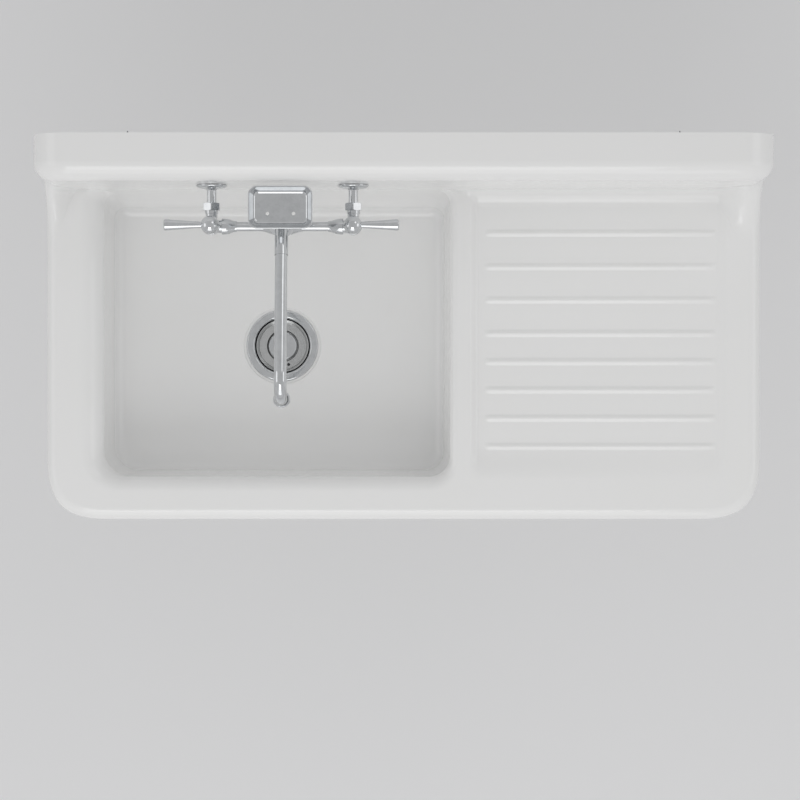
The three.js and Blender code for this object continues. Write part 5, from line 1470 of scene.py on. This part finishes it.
@dataclass(frozen=True)
class Spout:
    """The swinging spout: base, tube, sealing rings and aerator."""

    root: float = 35.0
    rise: float = math.radians(13)
    tube: float = 9.0
    wall: float = 1.5
    arm: float = 9.75
    arm_length: float = 44.0
    socket: float = 10.0
    straight_end: float = 213.0
    bend: float = 32.0
    drop: float = 28.0
    elbow: float = 12.5
    foot: float = -6.0
    ring_section: float = 1.2
    ring_heights: tuple[float, float] = (0.0, 7.0)
    aerator: float = 12.5
    aerator_length: float = 16.0
    screen_hole: float = 1.7
    sides: int = 48

    def straight(self, start: float, stop: float) -> list[Stop]:
        """Two stops on the spout's straight line: reach, height and slope."""
        return [(r, self.root + r * math.tan(self.rise), self.rise) for r in (start, stop)]

    def line(self, start: float, extra: float = 0.0) -> list[Stop]:
        """The spout's middle line from a distance on its straight part, longer at its mouth by extra."""
        reach = self.straight_end + self.bend * math.sin(self.rise)
        middle = self.root + self.straight_end * math.tan(self.rise) - self.bend * math.cos(self.rise)
        bend = [(reach - self.bend * math.sin(a), middle + self.bend * math.cos(a),
            a) for a in spread(self.rise, -QUARTER, 28)[1:]]
        reach, z, angle = bend[-1]
        return self.straight(start, self.straight_end) + bend + [(reach, z - self.drop - extra, angle)]

    def along(self, stops: Sequence[Stop], radius: float) -> BMesh:
        """A round solid of one radius along stops of the middle line."""
        turns = [2 * math.pi * i / self.sides for i in range(self.sides)]
        around = [(radius * math.cos(turn), radius * math.sin(turn)) for turn in turns]
        return skin([[TAP.centre + at(across, reach - up * math.sin(angle), z + up * math.cos(angle))
            for across, up in around] for reach, z, angle in stops])

    def base(self) -> BMesh:
        """The stub in the hub, its collar and neck, and the ball elbow with a short arm."""
        foot, rise, collar, neck = TAP.hub_bore - GAP, TAP.hub_rise + GAP, TAP.hub - 1.5, TAP.spout_neck
        groove, top, length = foot - self.ring_section, rise + TAP.spout_collar, self.arm_length
        stub = [(0, self.foot), (foot, self.foot)]
        for z in self.ring_heights:
            stub += [(foot, z - 1.3), (groove, z - 1.3), (groove, z + 1.3), (foot, z + 1.3)]
        stub += [(foot, rise), (collar, rise), (collar, top), (neck, top), (neck, self.root),
            (0, self.root)]
        arm = self.along(self.straight(0, length), self.arm)
        tools = [self.along(self.straight(length - self.socket, length + 2), self.tube + GAP),
            self.along(self.straight(0, length), TAP.bore),
            rod(TAP.bore, self.foot - 1, self.root, UP, TAP.centre, 32)]
        elbow = ball(self.elbow, self.root, TAP.centre, 24)
        return cut(joined(turned(stub, UP, TAP.centre, 56, 0.3), elbow, arm), *tools)

    def aerator_shell(self, foot: Vector) -> BMesh:
        """The knurl-free shell that screws on the tube's mouth, with the ledge for its screen."""
        radius, length, ledge = self.aerator, self.aerator_length, 5.0
        bore, mouth = self.tube + GAP, self.tube - 1
        return turned([(radius - 2, 0), (radius - 1, 0), (radius, 1.2), (radius, length - 2),
            (radius - 1, length), (bore, length), (bore, ledge + 2), (mouth, ledge + 2), (mouth, ledge),
            (radius - 2, ledge)], UP, foot, 64)

    def build(self) -> None:
        """Shapes and dresses the spout."""
        start = self.arm_length - self.socket + GAP
        tube = cut(self.along(self.line(start), self.tube),
            self.along(self.line(start - 2, 2), self.tube - self.wall))
        finish_piece(self.base(), "spout_base", body=Body.SPOUT)
        finish_piece(tube, "spout_tube", body=Body.SPOUT)
        outer = TAP.hub_bore - GAP + 0.05
        inner = outer - self.ring_section + GAP
        for name, height in zip(("lower", "upper"), self.ring_heights):
            ring = sleeve(inner, outer, height - 1, height + 1, UP, TAP.centre)
            finish_piece(ring, f"spout_ring_{name}", RUBBER, Body.SPOUT)
        reach, z, _ = self.line(0)[-1]
        foot = TAP.centre + at(0, reach, z - 7 - GAP)
        finish_piece(self.aerator_shell(foot), "aerator_shell", body=Body.SPOUT)
        middles = [foot] + [foot + away(i * math.pi / 3, self.aerator * 0.45) for i in range(6)]
        holes = [rod(self.screen_hole, 0, 6, UP, middle, 20) for middle in middles]
        screen = cut(rod(self.aerator - 2 - GAP, 1.2, 5 - GAP, UP, foot, 48, 0.3), *holes)
        finish_piece(screen, "aerator_screen", PLASTIC, Body.SPOUT)


# ---------------------------------------------------------------- stage


@dataclass(frozen=True)
class Softbox:
    """A soft rectangular lamp: where it hangs, its width and height, and its strength in watts."""

    name: str
    place: tuple[float, float, float]
    size: tuple[float, float]
    power: float

    def hang(self, target: Vector) -> None:
        """Hangs the lamp so that it faces a point."""
        light = bpy.data.lights.new(self.name, "AREA")
        light.shape, light.energy = "RECTANGLE", self.power
        light.size, light.size_y = self.size[0] * MM, self.size[1] * MM
        thing, place = placed(self.name, light), at(*self.place)
        thing.location = place * MM
        thing.rotation_euler = (target - place).to_track_quat("-Z", "Y").to_euler()


@dataclass(frozen=True)
class Stage:
    """The floor, the lights and the camera above the sink."""

    floor_height: float = -914.0
    floor_size: float = 16000.0
    floor_colour: str = "#F2F2F3"
    floor_roughness: float = 0.9
    sky_colour: str = "#FCFCFC"
    sky_low: float = 0.64
    sky_high: float = 0.53
    middle: tuple[float, float, float] = (0, 280, 0)
    camera: tuple[float, float, float] = (-5.3, 381.4, 4459.0)
    lens: float = 134.4
    film: float = 36.0
    lamps: tuple[Softbox, ...] = (Softbox("left softbox", (-3000, 300, 1500), (1800, 1400), 5),
        Softbox("right softbox", (3000, 300, 1500), (1800, 1400), 5),
        Softbox("front softbox", (-300, 2700, 2700), (2000, 1400), 16),
        Softbox("low front softbox", (-300, 3300, 1400), (2400, 1400), 9),
        Softbox("back softbox", (2000, -1700, 2900), (1400, 1200), 4))

    def floor(self) -> None:
        """A plain pale floor at the height of a kitchen's."""
        work = bmesh.new()
        bmesh.ops.create_grid(work, x_segments=1, y_segments=1, size=self.floor_size / 2)
        bmesh.ops.translate(work, vec=(0, 0, self.floor_height), verts=work.verts)
        bmesh.ops.scale(work, vec=(MM, MM, MM), verts=work.verts)
        mesh, material = as_mesh(work, "floor"), bpy.data.materials.new("pale floor")
        tree = empty_tree(material)
        inputs = {"Base Color": linear(self.floor_colour), "Roughness": self.floor_roughness}
        add_node(tree, "OutputMaterial", {"Surface": add_node(tree, "BsdfPrincipled", inputs)})
        mesh.materials.append(material)
        placed("floor", mesh)

    def sky(self) -> None:
        """A soft surround, a little brighter round the sides than overhead."""
        world = bpy.data.worlds.new("soft surround")
        tree = empty_tree(world)
        way = add_node(tree, "TexCoord", {}, "Generated")
        height = add_node(tree, "SeparateXYZ", {"Vector": way}, "Z")
        strength = ranged(tree, height, 0.0, 1.0, self.sky_low, self.sky_high)
        light = add_node(tree, "Background", {"Color": linear(self.sky_colour), "Strength": strength})
        add_node(tree, "OutputWorld", {"Surface": light})
        bpy.context.scene.world = world

    def build(self) -> None:
        """Sets the stage."""
        self.floor()
        self.sky()
        for lamp in self.lamps:
            lamp.hang(at(*self.middle))
        camera = bpy.data.cameras.new("camera")
        camera.sensor_width, camera.sensor_height, camera.sensor_fit = self.film, self.film, "HORIZONTAL"
        camera.lens, camera.clip_end = self.lens, 100
        thing = placed("camera", camera)
        thing.location = at(*self.camera) * MM
        bpy.context.scene.camera = thing
        bpy.context.scene.view_settings.view_transform = "Standard"


def main() -> None:
    """Builds every sub-assembly in order."""
    logging.basicConfig(level=logging.INFO, format="%(message)s")
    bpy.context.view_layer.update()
    SinkCasting().build()
    WallHangers().build()
    BasketStrainer().build()
    for side, sign, body in (("left", -1, Body.HOT), ("right", 1, Body.COLD)):
        Inlet(side, sign).build()
        LeverValve(side, sign, body).build()
    Bridge().build()
    SoapDish().build()
    Spout().build()
    Stage().build()


if __name__ == "__main__":
    main()
